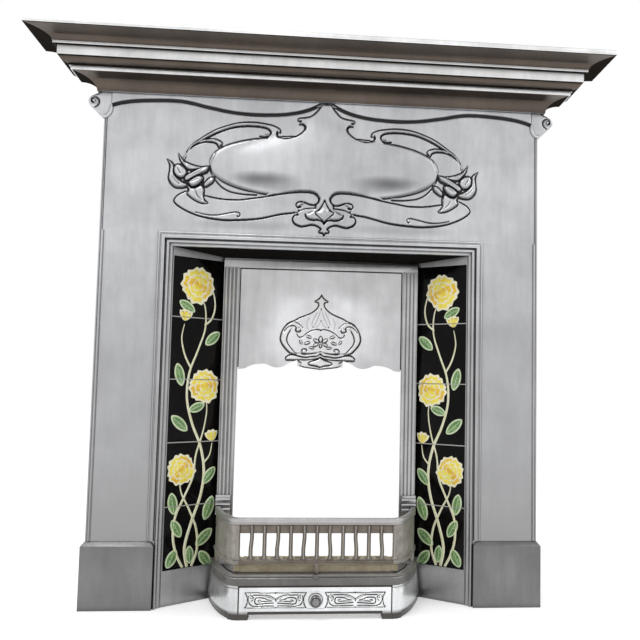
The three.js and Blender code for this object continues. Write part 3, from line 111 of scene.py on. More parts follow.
def iron(name, colour, roughness, stain=None, stain_share=0.5, grain=0.25, crevice=0.0,
         reach=0.012, metallic=1.0, hollows=False, shade_below=None):
    """Cast iron: cloudy colour, uneven polish, fine cast grain, dirt and painted shade in its
    crevices, and painted shade read from a relief or laid on towards its foot.
    """
    material, tree, shader = new_material(name)
    coords = node(tree, "ShaderNodeTexCoord").outputs["Object"]
    cloud = noise(tree, coords, 7.0, 6.0, 0.6)
    fine = noise(tree, coords, 160.0, 3.0)
    drawn = node(tree, "ShaderNodeMapping", {"Vector": coords, "Scale": (1.0, 1.0, 0.16)})
    streaks = noise(tree, drawn.outputs["Vector"], 55.0, 4.0, 0.6)
    shown = mixed(tree, spread(tree, cloud, 0.0, 1.0), rgba(colour, 0.78), rgba(colour, 1.1))
    shown = mixed(tree, spread(tree, streaks, 0.0, 0.16, 0.4, 0.65), shown, rgba(colour, 0.45))
    if stain:
        patches = noise(tree, coords, 34.0, 6.0, 0.7)
        share = spread(tree, patches, 0.0, stain_share, 0.45, 0.7)
        shown = mixed(tree, share, shown, rgba(stain))
    if crevice:
        # Ambient occlusion finds the crevices, which are darkened as dirt and painted shade.
        hollow = node(tree, "ShaderNodeAmbientOcclusion", {"Distance": reach}, samples=6)
        share = spread(tree, hollow.outputs["AO"], crevice, 0.0, 0.45, 0.95)
        shown = mixed(tree, share, shown, rgba(DIRT_AND_SHADE))
    if hollows:
        # Painted shade from the relief's own attribute: its hollows, its slopes that face down and
        # its laid-on tone.
        shade = node(tree, "ShaderNodeAttribute", attribute_name="hollow").outputs["Fac"]
        shown = mixed(tree, spread(tree, shade, 0.0, 0.96, 0.12, 0.7), shown, rgba(RELIEF_SHADE))
    if shade_below:
        # Painted shade, darker towards the foot.
        shade_colour, foot, head = shade_below
        split = node(tree, "ShaderNodeSeparateXYZ", {"Vector": coords})
        share = spread(tree, split.outputs["Z"], 1.0, 0.0, foot, head)
        shown = mixed(tree, share, shown, rgba(shade_colour))
    if not metallic:
        feed(tree, shader, {"Specular IOR Level": 0.0})
    feed(tree, shader, {"Metallic": metallic, "Base Color": shown, "Roughness": spread(
        tree, fine, roughness - 0.05, roughness + 0.07)})
    bumped(tree, shader, noise(tree, coords, 420.0, 5.0, 0.65), grain, 0.0006)
    return material


def enamel(name, colour, deep, roughness=0.16, gloss=0.5):
    """Coloured glaze, a little uneven in its depth."""
    material, tree, shader = new_material(name)
    coords = node(tree, "ShaderNodeTexCoord").outputs["Object"]
    cloud = noise(tree, coords, 60.0, 5.0, 0.6)
    shown = mixed(tree, spread(tree, cloud, 0.0, 1.0, 0.35, 0.65), rgba(deep), rgba(colour))
    feed(tree, shader, {"Metallic": 0.0, "Roughness": roughness, "Specular IOR Level": gloss,
                        "Base Color": shown})
    bumped(tree, shader, noise(tree, coords, 200.0, 2.0), 0.15, 0.0003)
    return material


# Colours, and (painted shade colour at the foot, where it begins, where it ends) with heights in
# metres.
# The second colour is painted shade at the foot, the third darkens crevices as dirt and painted
# shade, and the fourth is the reliefs' painted shade.
UPPER, FOOT_SHADE_COLOUR, DIRT_AND_SHADE, RELIEF_SHADE = ((0.58, 0.585, 0.60), (0.29, 0.288, 0.288), (0.035, 0.03, 0.026),
                                (0.013, 0.012, 0.011))
FOOT_SHADE = (FOOT_SHADE_COLOUR, 0.12, 0.893)  # painted shade: the casting is left brightest at its head and painted darker towards its foot
# Painted shadow along the foot of the wings and the cover.
BASE_SHADOW = ((0.09, 0.085, 0.08), 0.012, 0.021)
FRIEZE = iron("frieze_iron", UPPER, 0.36, crevice=0.85, grain=0.12)
FRIEZE_RELIEF = iron("frieze_relief", UPPER, 0.36, grain=0.12, hollows=True)
JAMB = iron("jamb_iron", UPPER, 0.36, crevice=0.8, grain=0.12, shade_below=FOOT_SHADE)
PLINTH = iron("plinth_iron", (0.21, 0.208, 0.206), 0.38, crevice=0.4, grain=0.15)
# Painted shade: the coves face down and take a darker brown copy of the iron, and the returns'
# coves and the shadow lines take a near-black one.
COVE_SHADE = iron("cove_shade_iron", (0.115, 0.093, 0.077), 0.34, crevice=0.75, reach=0.03)
SHADOW_IRON = iron("shadow_iron", (0.022, 0.019, 0.016), 0.7, metallic=0.0)
# Painted highlight: a lighter copy of the iron for the fillets, the fascia and the shelf.
HIGHLIGHT_IRON = iron("highlight_iron", (0.92, 0.92, 0.915), 0.34, crevice=0.9, grain=0.12)
BRIGHT = iron("bright_iron", (0.78, 0.785, 0.79), 0.3, crevice=0.75, grain=0.08,
              shade_below=BASE_SHADOW)
BRIGHT_RELIEF = iron("bright_relief", (0.86, 0.865, 0.87), 0.32, grain=0.08,
                     hollows=True, shade_below=BASE_SHADOW)
KNOB_IRON = iron("knob_iron", (0.27, 0.27, 0.27), 0.22, crevice=0.95,
                 reach=0.008, grain=0.05)
HOOD_RELIEF = iron("hood_relief", (0.80, 0.80, 0.81), 0.36, grain=0.12,
                   hollows=True)
SKIRT = iron("skirt_iron", (0.37, 0.368, 0.368), 0.4, crevice=0.5)
STILE = iron("stile_iron", (0.53, 0.53, 0.535), 0.34, crevice=0.95, reach=0.008,
             grain=0.12)
# Painted shade: near black, for the soffit under the arris.
SOFFIT_SHADE = iron("dark_iron", (0.012, 0.011, 0.010), 0.8, metallic=0.0)
BAR = iron("bar_iron", (0.22, 0.195, 0.165), 0.42, stain=(0.10, 0.07, 0.05),
           crevice=0.75, reach=0.008)
# Painted light: a lighter copy of the bar iron for the grate's curved cheeks.
LIT_CHEEK = iron("lit_cheek_iron", (0.42, 0.39, 0.35), 0.45, stain=(0.12, 0.095, 0.075),
             stain_share=0.6, crevice=0.5, reach=0.008, metallic=0.45)
# Painted highlight: a lighter copy of the iron for the tops of the rails.
TOP_HIGHLIGHT = iron("top_highlight_iron", (0.54, 0.53, 0.52), 0.36, crevice=0.5, reach=0.006,
            metallic=0.8)
RIDGE = iron("bar_ridge_iron", (0.40, 0.37, 0.33), 0.36, crevice=0.5, reach=0.004)
RAIL = iron("rail_iron", (0.17, 0.163, 0.155), 0.38, stain=(0.10, 0.09, 0.08),
            crevice=0.5, metallic=0.45)
BURNT = iron("burnt_iron", (0.50, 0.44, 0.31), 0.75, stain=(0.28, 0.22, 0.13),
             stain_share=0.9, grain=0.5, metallic=0.35)
BACK = iron("back_iron", (0.05, 0.047, 0.045), 0.62, stain=(0.07, 0.045, 0.03),
            grain=0.5, metallic=0.7)
BOLT = iron("bolt_steel", (0.30, 0.30, 0.30), 0.4)
GROUT = iron("joint_cement", (0.45, 0.44, 0.41), 0.8, metallic=0.0, grain=0.6)
GLAZE = enamel("tile_glaze", (0.002, 0.002, 0.003), (0.005, 0.004, 0.003), 0.07, 0.08)
CREAM = enamel("cream_glaze", (0.88, 0.84, 0.62), (0.82, 0.76, 0.50))
YELLOW = enamel("yellow_glaze", (0.90, 0.78, 0.12), (0.86, 0.66, 0.05))
LEAF = enamel("leaf_glaze", (0.20, 0.36, 0.12), (0.10, 0.22, 0.07))
VEIN = enamel("vein_glaze", (0.05, 0.09, 0.04), (0.03, 0.06, 0.03))
PALE_LEAF = enamel("pale_leaf_glaze", (0.66, 0.74, 0.50), (0.50, 0.62, 0.36))
AMBER = enamel("amber_glaze", (0.86, 0.60, 0.05), (0.74, 0.44, 0.03))

# ---- Making pieces ----
def piece(name, part, materials, body, replaces=(), smooth_angle=35.0, bevel=0.0):
    """A mesh from a part in millimetres: vertices, faces and each face's material number."""
    vertices, faces, which = part
    materials = materials if isinstance(materials, list) else [materials]
    mesh = bpy.data.meshes.new(name)
    mesh.from_pydata([tuple(v) for v in metres(vertices)], [], [tuple(f) for f in faces])
    for material in materials:
        mesh.materials.append(material)
    mesh.polygons.foreach_set("material_index", np.asarray(which, dtype=np.int32))
    return finished(name, mesh, body, replaces, smooth_angle, bevel)


def finished(name, mesh, body, replaces, smooth_angle, bevel):
    cleaner = bmesh.new()
    cleaner.from_mesh(mesh)
    bmesh.ops.recalc_face_normals(cleaner, faces=cleaner.faces)
    cleaner.to_mesh(mesh)
    cleaner.free()
    made = bpy.data.objects.new(name, mesh)
    bpy.context.scene.collection.objects.link(made)
    mesh.polygons.foreach_set("use_smooth", [True] * len(mesh.polygons))
    if bevel:
        rounder = made.modifiers.new("rounded", "BEVEL")
        rounder.width = bevel / 1000.0
        rounder.segments = 2
        rounder.limit_method = "ANGLE"
        rounder.angle_limit = math.radians(35.0)
        rounder.harden_normals = True
    else:
        mesh.set_sharp_from_angle(angle=math.radians(smooth_angle))
    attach(made, body)
    if replaces:
        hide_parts(*replaces)
    return made


def rounded_copy(name, source, body, material, bevel=0.8):
    """A CAD piece with its flat faces joined and its edges rounded off."""
    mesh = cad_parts[source].data.copy()
    mesh.name = name
    worker = bmesh.new()
    worker.from_mesh(mesh)
    bmesh.ops.remove_doubles(worker, verts=worker.verts, dist=1e-5)
    bmesh.ops.dissolve_limit(worker, angle_limit=math.radians(0.6), verts=worker.verts,
                             edges=worker.edges)
    worker.to_mesh(mesh)
    worker.free()
    mesh.materials.clear()
    mesh.materials.append(material)
    mesh.polygons.foreach_set("material_index", [0] * len(mesh.polygons))
    return finished(name, mesh, body, (source,), 35.0, bevel)


def smooth(points, per_span=4):
    """A Catmull-Rom curve through points."""
    points = [np.array(p, dtype=float) for p in points]
    out = []
    last = len(points) - 1
    for i in range(last):
        p0, p1, p2 = points[max(i - 1, 0)], points[i], points[i + 1]
        p3 = points[min(i + 2, last)]
        for k in range(per_span):
            t = k / per_span
            v0, v1 = (p2 - p0) / 2, (p3 - p1) / 2
            out.append((2 * p1 - 2 * p2 + v0 + v1) * t ** 3
                       + (-3 * p1 + 3 * p2 - 2 * v0 - v1) * t ** 2 + v0 * t + p1)
    out.append(points[last])
    return np.array(out)


def tube(count, rings):
    """The faces between rings of `count` points each."""
    return [(s + k, s + (k + 1) % count, s + count + (k + 1) % count, s + count + k)
            for s in range(0, (rings - 1) * count, count) for k in range(count)]


def swept(section, stations, numbers=None):
    """A closed section carried through stations, with a material number for each of its edges."""
    count, end = len(section), (len(stations) - 1) * len(section)
    numbers = list(numbers or [0] * count)
    vertices = [place(u, v) for place in stations for u, v in section]
    caps = [tuple(range(count))[::-1], tuple(range(end, end + count))]
    return (vertices, tube(count, len(stations)) + caps,
            numbers * (len(stations) - 1) + numbers[:1] * 2)


def merged(*parts):
    """Several (vertices, faces, which) as one."""
    vertices, faces, which = [], [], []
    for part_vertices, part_faces, part_which in parts:
        start = len(vertices)
        vertices += [tuple(v) for v in part_vertices]
        faces += [tuple(i + start for i in f) for f in part_faces]
        which += list(part_which)
    return vertices, faces, which


def block(x0, x1, y0, y1, z0, z1):
    vertices = [(x, y, z) for x in (x0, x1) for y in (y0, y1) for z in (z0, z1)]
    faces = [(0, 1, 3, 2), (4, 6, 7, 5), (0, 4, 5, 1), (2, 3, 7, 6), (0, 2, 6, 4), (1, 5, 7, 3)]
    return vertices, faces, [0] * 6


def mirrored(part):
    vertices, faces, which = part
    return [(-x, y, z) for x, y, z in vertices], [tuple(reversed(f)) for f in faces], which


# ---- Distances and reliefs: heights over a fine grid ----
def distance(px, pz, outline, closed=True):
    """Signed distance to an outline, positive inside; to an open line it is never negative."""
    outline = np.asarray(outline, dtype=float)
    ends = np.roll(outline, -1, axis=0) if closed else outline[1:]
    starts = outline if closed else outline[:-1]
    best = np.full(px.shape, 1e9)
    inside = np.zeros(px.shape, dtype=bool)
    for (ax, az), (bx, bz) in zip(starts, ends):
        dx, dz = bx - ax, bz - az
        length = dx * dx + dz * dz
        if length < 1e-9:
            continue
        t = np.clip(((px - ax) * dx + (pz - az) * dz) / length, 0.0, 1.0)
        best = np.minimum(best, (px - ax - t * dx) ** 2 + (pz - az - t * dz) ** 2)
        if closed and dz:
            crosses = ((az > pz) != (bz > pz)) & (px < dx * (pz - az) / dz + ax)
            inside ^= crosses
    best = np.sqrt(best)
    return np.where(inside, best, -best) if closed else best


class Relief:
    """A height field over x and z, kept in millimetres above its ground."""

    def __init__(self, x0, x1, z0, z1, pitch):
        self.xs = np.linspace(x0, x1, int(round((x1 - x0) / pitch)) + 1)
        self.zs = np.linspace(z0, z1, int(round((z1 - z0) / pitch)) + 1)
        self.X, self.Z = np.meshgrid(self.xs, self.zs, indexing="ij")
        self.H = np.zeros_like(self.X)
        self.tone = np.zeros_like(self.X)  # extra shade laid on

    def _near(self, outline, margin):
        low, high = np.min(outline, axis=0) - margin, np.max(outline, axis=0) + margin
        i = np.searchsorted(self.xs, [low[0], high[0]])
        k = np.searchsorted(self.zs, [low[1], high[1]])
        return slice(max(i[0] - 1, 0), i[1] + 1), slice(max(k[0] - 1, 0), k[1] + 1)

    def raise_by(self, outline, profile, margin=2.0, closed=True, join="max"):
        """Adds profile(distance) inside an outline, as the higher of the two or on top."""
        outline = np.asarray(outline, dtype=float)
        at = self._near(outline, margin)
        if self.X[at].size == 0:
            return
        height = profile(distance(self.X[at], self.Z[at], outline, closed))
        self.H[at] = np.maximum(self.H[at], height) if join == "max" else self.H[at] + height

    def both(self, outline, profile, **options):
        outline = np.asarray(outline, dtype=float)
        self.raise_by(outline, profile, **options)
        self.raise_by((outline * [-1, 1])[::-1], profile, **options)

    def cut(self, line, depth, radius, closed=False):
        """A groove along a line and its mirror image."""
        self.both(line, groove(depth, radius), margin=6, closed=closed, join="add")

    def shaded(self, line, width, strength):
        """Lays painted shade along an open line and its mirror image."""
        line = np.asarray(line, dtype=float)
        for run in (line, (line * [-1, 1])[::-1]):
            at = self._near(run, 3 * width)
            off = distance(self.X[at], self.Z[at], run, False)
            self.tone[at] = np.maximum(self.tone[at], strength * np.exp(-(off / width) ** 2))

    def snapped(self, outline, keep):
        """Moves the rim of the kept cells onto an outline, so that the edge is drawn clean."""
        corner = np.zeros(self.X.shape, dtype=int)
        for di in (0, 1):
            for dk in (0, 1):
                corner[di:di + keep.shape[0], dk:dk + keep.shape[1]] += keep
        rim = (corner > 0) & (corner < 4)
        px, pz = self.X[rim], self.Z[rim]
        best = np.full(px.shape, 1e9)
        onto_x, onto_z = px.copy(), pz.copy()
        for (ax, az), (bx, bz) in zip(outline, np.roll(outline, -1, axis=0)):
            dx, dz = bx - ax, bz - az
            t = np.clip(((px - ax) * dx + (pz - az) * dz) / max(dx * dx + dz * dz, 1e-9), 0, 1)
            gap = np.hypot(px - ax - t * dx, pz - az - t * dz)
            nearer = gap < best
            best = np.where(nearer, gap, best)
            onto_x, onto_z = (np.where(nearer, ax + t * dx, onto_x),
                              np.where(nearer, az + t * dz, onto_z))
        self.X[rim], self.Z[rim] = onto_x, onto_z

    def solid(self, front, back, keep=None):
        """A closed solid from the ground plane y = front - height back to y = back."""
        X, Z = self.X, self.Z
        nx, nz = X.shape
        if keep is None:
            keep = np.ones((nx - 1, nz - 1), dtype=bool)
        top = np.stack([X, front - self.H, Z], axis=-1).reshape(-1, 3)
        index = np.arange(nx * nz).reshape(nx, nz)
        quads = np.stack([index[:-1, :-1][keep], index[1:, :-1][keep], index[1:, 1:][keep],
                          index[:-1, 1:][keep]], axis=1)
        edges = np.concatenate([quads[:, [0, 1]], quads[:, [1, 2]], quads[:, [2, 3]],
                                quads[:, [3, 0]]])
        codes = np.sort(edges, axis=1) @ np.array([nx * nz, 1])
        _, first, counts = np.unique(codes, return_index=True, return_counts=True)
        after = dict(edges[first[counts == 1]].tolist())
        ring = [next(iter(after))]
        while after[ring[-1]] != ring[0]:
            ring.append(after[ring[-1]])
        used, quads = np.unique(quads, return_inverse=True)
        place = {old: new for new, old in enumerate(used.tolist())}
        start = len(used)
        rear = top[ring].copy()
        rear[:, 1] = back
        faces = quads.reshape(-1, 4).tolist()
        count = len(ring)
        for i, old in enumerate(ring):
            n = (i + 1) % count
            faces.append([place[ring[n]], place[old], start + i, start + n])
        faces.append([start + i for i in range(count)][::-1])
        vertices = np.concatenate([top[used], rear])
        # Painted shade for the material: cells lower than those around them and slopes that face
        # down are darkened, and the laid-on tone is added.
        hollow = self.H - self.H
        for reach in (1, 2, 3):
            padded = np.pad(self.H, reach, mode="edge")
            around = sum(padded[reach + di:reach + di + nx, reach + dk:reach + dk + nz]
                         for di in (-reach, 0, reach) for dk in (-reach, 0, reach)
                         if di or dk) / 8
            hollow = np.maximum(hollow, around - self.H)
        under = np.clip(np.gradient(self.H, self.zs, axis=1) * 1.1 - 0.06, 0, 0.42)
        shade = np.maximum(np.clip(hollow / 1.4, 0, 1), under) + self.tone
        self.shade = np.concatenate([np.clip(shade.reshape(-1)[used], 0, 1), np.zeros(count)])
        return vertices, faces, [0] * len(faces)


def pillow(height, radius):
    """Rises in a quarter round over `radius` and is flat within."""
    def profile(d):
        t = np.clip(d / radius, 0.0, 1.0)
        return np.where(d > 0, height * np.sqrt(1.0 - (1.0 - t) ** 2), -1.0)
    return profile


def bead(height, radius):
    def profile(d):
        return np.where(d < radius, height * np.sqrt(np.clip(1 - (d / radius) ** 2, 0, 1)), -1.0)
    return profile


def groove(depth, radius):
    def profile(d):
        return -depth * np.exp(-(d / radius) ** 2)
    return profile


def whole_cells(inside):
    """The cells of which all four corners are inside."""
    return inside[:-1, :-1] & inside[1:, :-1] & inside[1:, 1:] & inside[:-1, 1:]


def shaded_piece(name, field, part, material, body, replaces, smooth_angle=180.0):
    """A relief with its hollows kept as a shade for the material to darken."""
    made = piece(name, part, material, body, replaces, smooth_angle)
    layer = made.data.attributes.new("hollow", "FLOAT", "POINT")
    values = np.zeros(len(made.data.vertices), dtype=np.float32)
    values[:len(field.shade)] = field.shade
    layer.data.foreach_set("value", values)
    # The back is one flat face, which keeps its own normal.
    made.data.polygons.foreach_set(
        "use_smooth", [len(face.vertices) < 9 for face in made.data.polygons])
    return made


# ---- Frieze: collar, cartouche, crown, ribbons and lilies in one field ----
def below(points):
    return np.asarray(points, dtype=float) + [0.0, FRIEZE_TOP]


# Outlines in x and in z below the frieze's top, for the right half.
LINES = {
    "dome_low": [(272.7, -195.9), (263.3, -207.9), (249.3, -221.2), (230.9, -230.4),
        (209.7, -234.5), (188.5, -236.4), (165.8, -236.4)],
    "band_top": [(300, -240.5), (292.1, -243.1), (278.5, -245.6), (260.4, -248.9), (236.3, -251),
        (206.2, -250.5), (176.1, -245.5), (149, -241), (118.8, -234.5), (91.5, -228.7),
        (67.1, -224.6), (42.6, -223.6), (25.7, -226), (16.3, -233.5), (13, -242.7), (16.8, -251.6),
        (25, -255.7), (37.3, -254.6), (48.1, -250.4), (60.4, -249.3), (67.9, -252.7), (69.9, -259),
        (66.1, -262.9), (58.5, -261.7)],
    "band_low": [(337.2, -234.1), (350.3, -240.8), (359, -248), (364, -256.8), (361.4, -263.4),
        (349.2, -273.1), (330.9, -283.1), (306.8, -292.1), (279.7, -298.1), (252.7, -301.1),
        (228.6, -301.4), (201.6, -299.8), (174.5, -297.2), (150.5, -293.2), (126.4, -287),
        (102.2, -281.1), (81, -278.2), (73.4, -276.3)],
    "band_in": [(311.5, -284.9), (295, -288.5), (277, -290.9), (259, -290.2), (241.1, -286.5),
        (226.2, -283.1), (214.3, -281.1), (206.7, -283), (205, -287.6), (208.5, -292.3),
        (211.6, -290.3)],
    "lobe": [(64.1, -282.8), (71.7, -283.1), (77, -290.4), (75.9, -298.8), (69.6, -305.7),
        (55.7, -310.5), (40.5, -307.7), (28.3, -305.1), (15.4, -309), (7.2, -315.8), (12, -320.5),
        (11, -324), (4, -325), (0, -331)],
    "leaf": [(46.7, -280), (44.7, -287.7), (36.3, -292.9), (24, -294.4), (13.3, -293.6), (4, -298),
        (0, -303)],
    "diamond": [(0, -246), (4.2, -255), (9, -263), (13.9, -269.3), (22.9, -275.9), (16, -284.1),
        (6.6, -292.5), (0, -301.5)],
    "up_line": [(162.6, -89.3), (147.3, -88.6), (138.3, -85.6), (135.4, -78.6), (141.7, -71),
        (154.1, -66.9), (175.5, -65.1), (196.8, -65.8), (224, -69.7), (248, -77.8), (271.8, -88.9),
        (292.5, -101.2), (310.1, -112), (326.3, -122.7)],
    "up_out": [(112.5, -77.5), (115.8, -68.8), (129.8, -61.9), (145.1, -58.9), (166.6, -56.1),
        (194, -56.2), (218.3, -59.7), (242.3, -67.1), (269.1, -78.2), (292.8, -93.1),
        (313.3, -108.4), (327.8, -120.6), (338, -136), (344, -150)],
    "bay": [(120, -76), (121.5, -81), (119, -88), (113.6, -91.1), (101.3, -94), (89, -92.4),
        (73.8, -86.6), (58.7, -75.8), (51.9, -65.7), (53, -58.7), (59.3, -54.3), (66, -54.7)],
    "shoulder": [(62.5, -47.2), (69.4, -45.3), (68.9, -40.5), (56.6, -38.3), (42.8, -35.4),
        (32.1, -29.1), (23.1, -19.1), (17.1, -10.9), (12.3, -2.7)],
    "inner": [(343, -158), (340.3, -149.2), (337.7, -138.2), (327.7, -125.3), (313, -115.3),
        (295.2, -109.7), (277.1, -109.8), (266.4, -113.7), (261.6, -122.2)],
    "inner_top": [(292.4, -103.4), (274.4, -101.6), (259.2, -105.8), (252.9, -111.8)],
}
SHALLOW_LINES = {"band_in": 2.2, "up_out": 2.2, "inner_top": 1.6, "shoulder": 2.0}
COLLAR_WAVE = smooth([
    (521, -29), (502, -22.5), (477, -17), (450, -13.5), (424.6, -11.6), (406.8, -10.6),
    (388.9, -9.9), (367.9, -9.8), (346.8, -11), (322.6, -15), (298.3, -20.6), (274, -25),
    (246.5, -29.9), (219.1, -33.3), (191.7, -34.7), (164.2, -34.9), (139.7, -34), (115.2, -32.4),
    (90.7, -28.9), (66.2, -23.6), (44.8, -16.4), (29.5, -9.3), (17.3, -2.3), (11.1, 2),
])
# Petals of a lily with their heights, and a vein for each.
LILY = [
    (7, [(357, -142.2), (350, -152.7), (342.6, -160.1), (327.7, -167.2), (311, -171.8),
        (299, -173.7), (310.8, -178.9), (325.7, -181.1), (336.2, -178.5), (345.6, -168),
        (351.9, -157.5), (357, -142.2)], [(348, -158), (330, -173), (310, -175)]),
    (8, [(383.2, -157.3), (375.6, -170.9), (376.2, -186.4), (378, -201.9), (373.7, -214.1),
        (362.9, -224.4), (349.4, -226), (337.6, -223.4), (331.8, -217.9), (342.4, -212.7),
        (352.2, -207), (360.8, -199.6), (366.5, -190.6), (366.9, -179.8), (370.4, -167.6),
        (383.2, -157.3)], [(372, -178), (370, -200), (352, -218)]),
    (9, [(366.9, -179.8), (361.9, -170.3), (351.5, -169.8), (339.2, -178.6), (335.8, -190.8),
        (341.4, -200.3), (354.8, -200.9), (364.7, -192.1), (366.9, -179.8)], [(358, -178),
        (350, -192)]),
    (8, [(333.9, -219.2), (329.3, -230.7), (333.1, -240.1), (323.2, -249.6), (310.4, -257.7),
        (295.9, -262.7), (283.3, -262.2), (291.4, -253.9), (294.8, -241.7), (294, -229.3),
        (299.8, -217.8), (312.2, -224.5), (324.1, -225), (333.9, -219.2)], [(314, -228),
        (308, -244), (296, -256)]),
    (11, [(283.5, -170.5), (300.5, -174.4), (319.6, -184.5), (338.5, -197.7), (339.7, -206.5),
        (332.1, -209.2), (318.9, -201.9), (301.4, -190.9), (286.6, -183.1), (283.5, -170.5)],
        [(292, -177), (316, -192), (334, -203)]),
    (12, [(332, -212.3), (324.8, -221.3), (315.2, -222.4), (303.5, -214.8), (297.3, -205.3),
        (299.7, -196.1), (310.2, -196.5), (321.9, -203.2), (332, -212.3)], [(324, -213),
        (308, -204)]),
    (8, [(270.5, -197.9), (278.6, -198.3), (288.8, -207.4), (294.5, -216.3), (290.7, -221.7),
        (280.1, -215.1), (271.4, -207.3), (270.5, -197.9)], [(276, -202), (288, -215)]),
]
DOME_X, DOME_Z, DOME_CENTRE, DOME_POWER = 281.0, 77.0, -163.0, 2.4


def spliced(*parts):
    return np.concatenate([smooth(part) for part in parts])


def both_sides(half):
    """A right half from the axis round to the axis again, closed by its mirror image."""
    half = np.asarray(half, dtype=float)
    return np.concatenate([half, (half * [-1, 1])[::-1]])


def blended(first, second, softness):
    """The higher of two heights, run together over `softness`."""
    gap = np.sqrt((first - second) ** 2 + softness ** 2)
    return (first + second + gap) / 2 - softness / 2


def frieze():
    field = Relief(-529.5, 529.5, FRIEZE_BOTTOM - 2, FRIEZE_TOP, 1.3)
    X, Z = field.X, field.Z - FRIEZE_TOP
    # The cartouche: a dome that runs on up into the crown and down into the bud.
    across, rise = np.abs(X / DOME_X) ** DOME_POWER, np.abs(Z - DOME_CENTRE)
    own = (across + (rise / DOME_Z) ** DOME_POWER) ** (1 / DOME_POWER)
    tall = DOME_Z + np.where(Z > DOME_CENTRE, 66 * np.exp(-(X / 105) ** 2),
                             50 * np.exp(-(X / 66) ** 2))
    reach = (across + (rise / tall) ** DOME_POWER) ** (1 / DOME_POWER)
    dome = 17.0 * np.clip(1.0 - np.clip(reach, 0, 1) ** 2.5, 0, 1) ** 0.85
    crown = below(both_sides(np.concatenate([
        smooth(LINES["shoulder"])[::-1], smooth(LINES["bay"])[::-1],
        [(122, -72), (135.4, -78.6), (140, -88), (150, -100), (60, -130), (0, -130)]])))
    neck = below(both_sides(np.concatenate([
        [(0, -200), (120, -215), (150, -241)], smooth(LINES["band_top"])[28:64:2],
        [(22.9, -275.9), (0, -290)]])))
    depth = np.maximum(distance(field.X, field.Z, crown), distance(field.X, field.Z, neck))
    depth = np.maximum(depth, (1.0 - own) * DOME_Z)
    edge = np.sqrt(1.0 - (1.0 - np.clip(depth / 5.0, 0, 1)) ** 2)
    field.H = np.maximum(blended(dome, 6.5, 3.0), 0.0) * edge
    # Bands and petals stand on it.
    upper_band = spliced(LINES["up_out"], LINES["up_line"][::-1])
    inner_band = spliced(LINES["inner"], LINES["inner_top"][::-1],
                         [(296, -101), (314, -108), (329, -121), (338, -136), (344, -150)])
    lower_band = spliced(LINES["band_top"][::-1][5:], [(318, -235), (337.2, -234.1)],
                         LINES["band_low"][1:], [(64, -275), (66.1, -262.9)])
    for run in (below(lower_band), (below(lower_band) * [-1, 1])[::-1]):
        field.H *= np.clip(1.0 - distance(field.X, field.Z, run) / 1.5, 0, 1)
    # Painted shade: darker patches on the dome's lower flanks, and a darker band near the foot of
    # the frieze.
    flank_shade = np.hypot((np.abs(field.X) - 158) / 82, (field.Z - FRIEZE_TOP + 196) / 19)
    field.tone += 0.42 * np.exp(-flank_shade ** 2) * (own < 1)
    low_shade = np.hypot(((np.abs(field.X) - 190) / 150) ** 2, (field.Z - FRIEZE_TOP + 312) / 17)
    field.tone += 0.25 * np.exp(-low_shade ** 2)
    for outline, height in ((upper_band, 5.0), (inner_band, 4.5), (lower_band, 3.2)):
        field.both(below(outline), pillow(height, 3.2), margin=3)
    lobes = both_sides(spliced([(0, -262), (20, -264), (50, -268), (66, -276)], LINES["lobe"]))
    leaves = both_sides(spliced([(0, -268), (20.1, -265.5), (27.7, -269.9), (36.8, -274.9)],
                                LINES["leaf"]))
    field.raise_by(below(lobes), pillow(4.0, 3.5), margin=3)
    field.raise_by(below(leaves), pillow(7.5, 9.0), margin=3)
    field.raise_by(below(both_sides(smooth(LINES["diamond"]))), pillow(10.0, 15.0), margin=3)
    for name, line in LINES.items():
        field.cut(below(smooth(line)), SHALLOW_LINES.get(name, 3.4), 1.7)
    field.cut(below(smooth([(269, -137), (277, -157.2), (279.5, -172.9), (279, -185.3),
                            (272.7, -195.9)])), 1.3, 1.7)
    for height, petal, vein in LILY:
        outline = below(smooth(petal))
        field.cut(outline, 2.6, 2.0, closed=True)
        field.both(outline, pillow(height, 7.0), margin=3)
        field.cut(below(smooth(vein)), 1.5, 1.5)
    # The collar above, undercut along its waved edge, with a painted shadow line under it.
    line = below(COLLAR_WAVE)
    field.both(line + [0, -1.8], groove(3.4, 2.6), margin=9, closed=False, join="add")
    field.shaded(line + [0, -1.8], 2.0, 1.7)
    collar = np.concatenate([line, below([(11, 9), (521, 9)])])
    field.both(collar, pillow(7.0, 3.0), margin=2)
    return field, field.solid(0.0, WALL)


# ---- Mouldings that go round the front ----
def quarter(d0, z0, d1, z1, hollow, steps=12):
    out = []
    for i in range(steps + 1):
        angle = i / steps * math.pi / 2
        across = 1 - math.cos(angle) if hollow else math.sin(angle)
        along = math.sin(angle) if hollow else 1 - math.cos(angle)
        out.append((d0 + (d1 - d0) * across, z0 + (z1 - z0) * along))
    return out


MOULDING_IRONS = [HIGHLIGHT_IRON, COVE_SHADE, JAMB, SHADOW_IRON]  # material numbers 0 to 3 of the sections below: painted highlight, painted cove shade, plain iron, painted shadow
MANTEL_STATIONS = [
    lambda d, z: (-JAMB_X - d, RETURN_DEPTH, z),
    lambda d, z: (-JAMB_X - d, -d, z),
    lambda d, z: (JAMB_X + d, -d, z),
    lambda d, z: (JAMB_X + d, RETURN_DEPTH, z),
]


def coloured(runs):
    """A section from runs of points, each with its material number, and one number per edge."""
    points, numbers = [], []
    for number, run in runs:
        for point in run:
            if not points or math.dist(points[-1], point) > 1e-6:
                points.append(point)
                numbers.append(number)
    return points, numbers


def round_the_front(runs):
    """A mantel moulding with the coves (1) of its two returns painted darker (3) as shadow."""
    points, numbers = coloured(runs)
    vertices, faces, which = swept(points, MANTEL_STATIONS, numbers)
    for side in (0, 2):
        for k in range(side * len(points), (side + 1) * len(points)):
            which[k] = 3 if which[k] == 1 else which[k]
    return vertices, faces, which


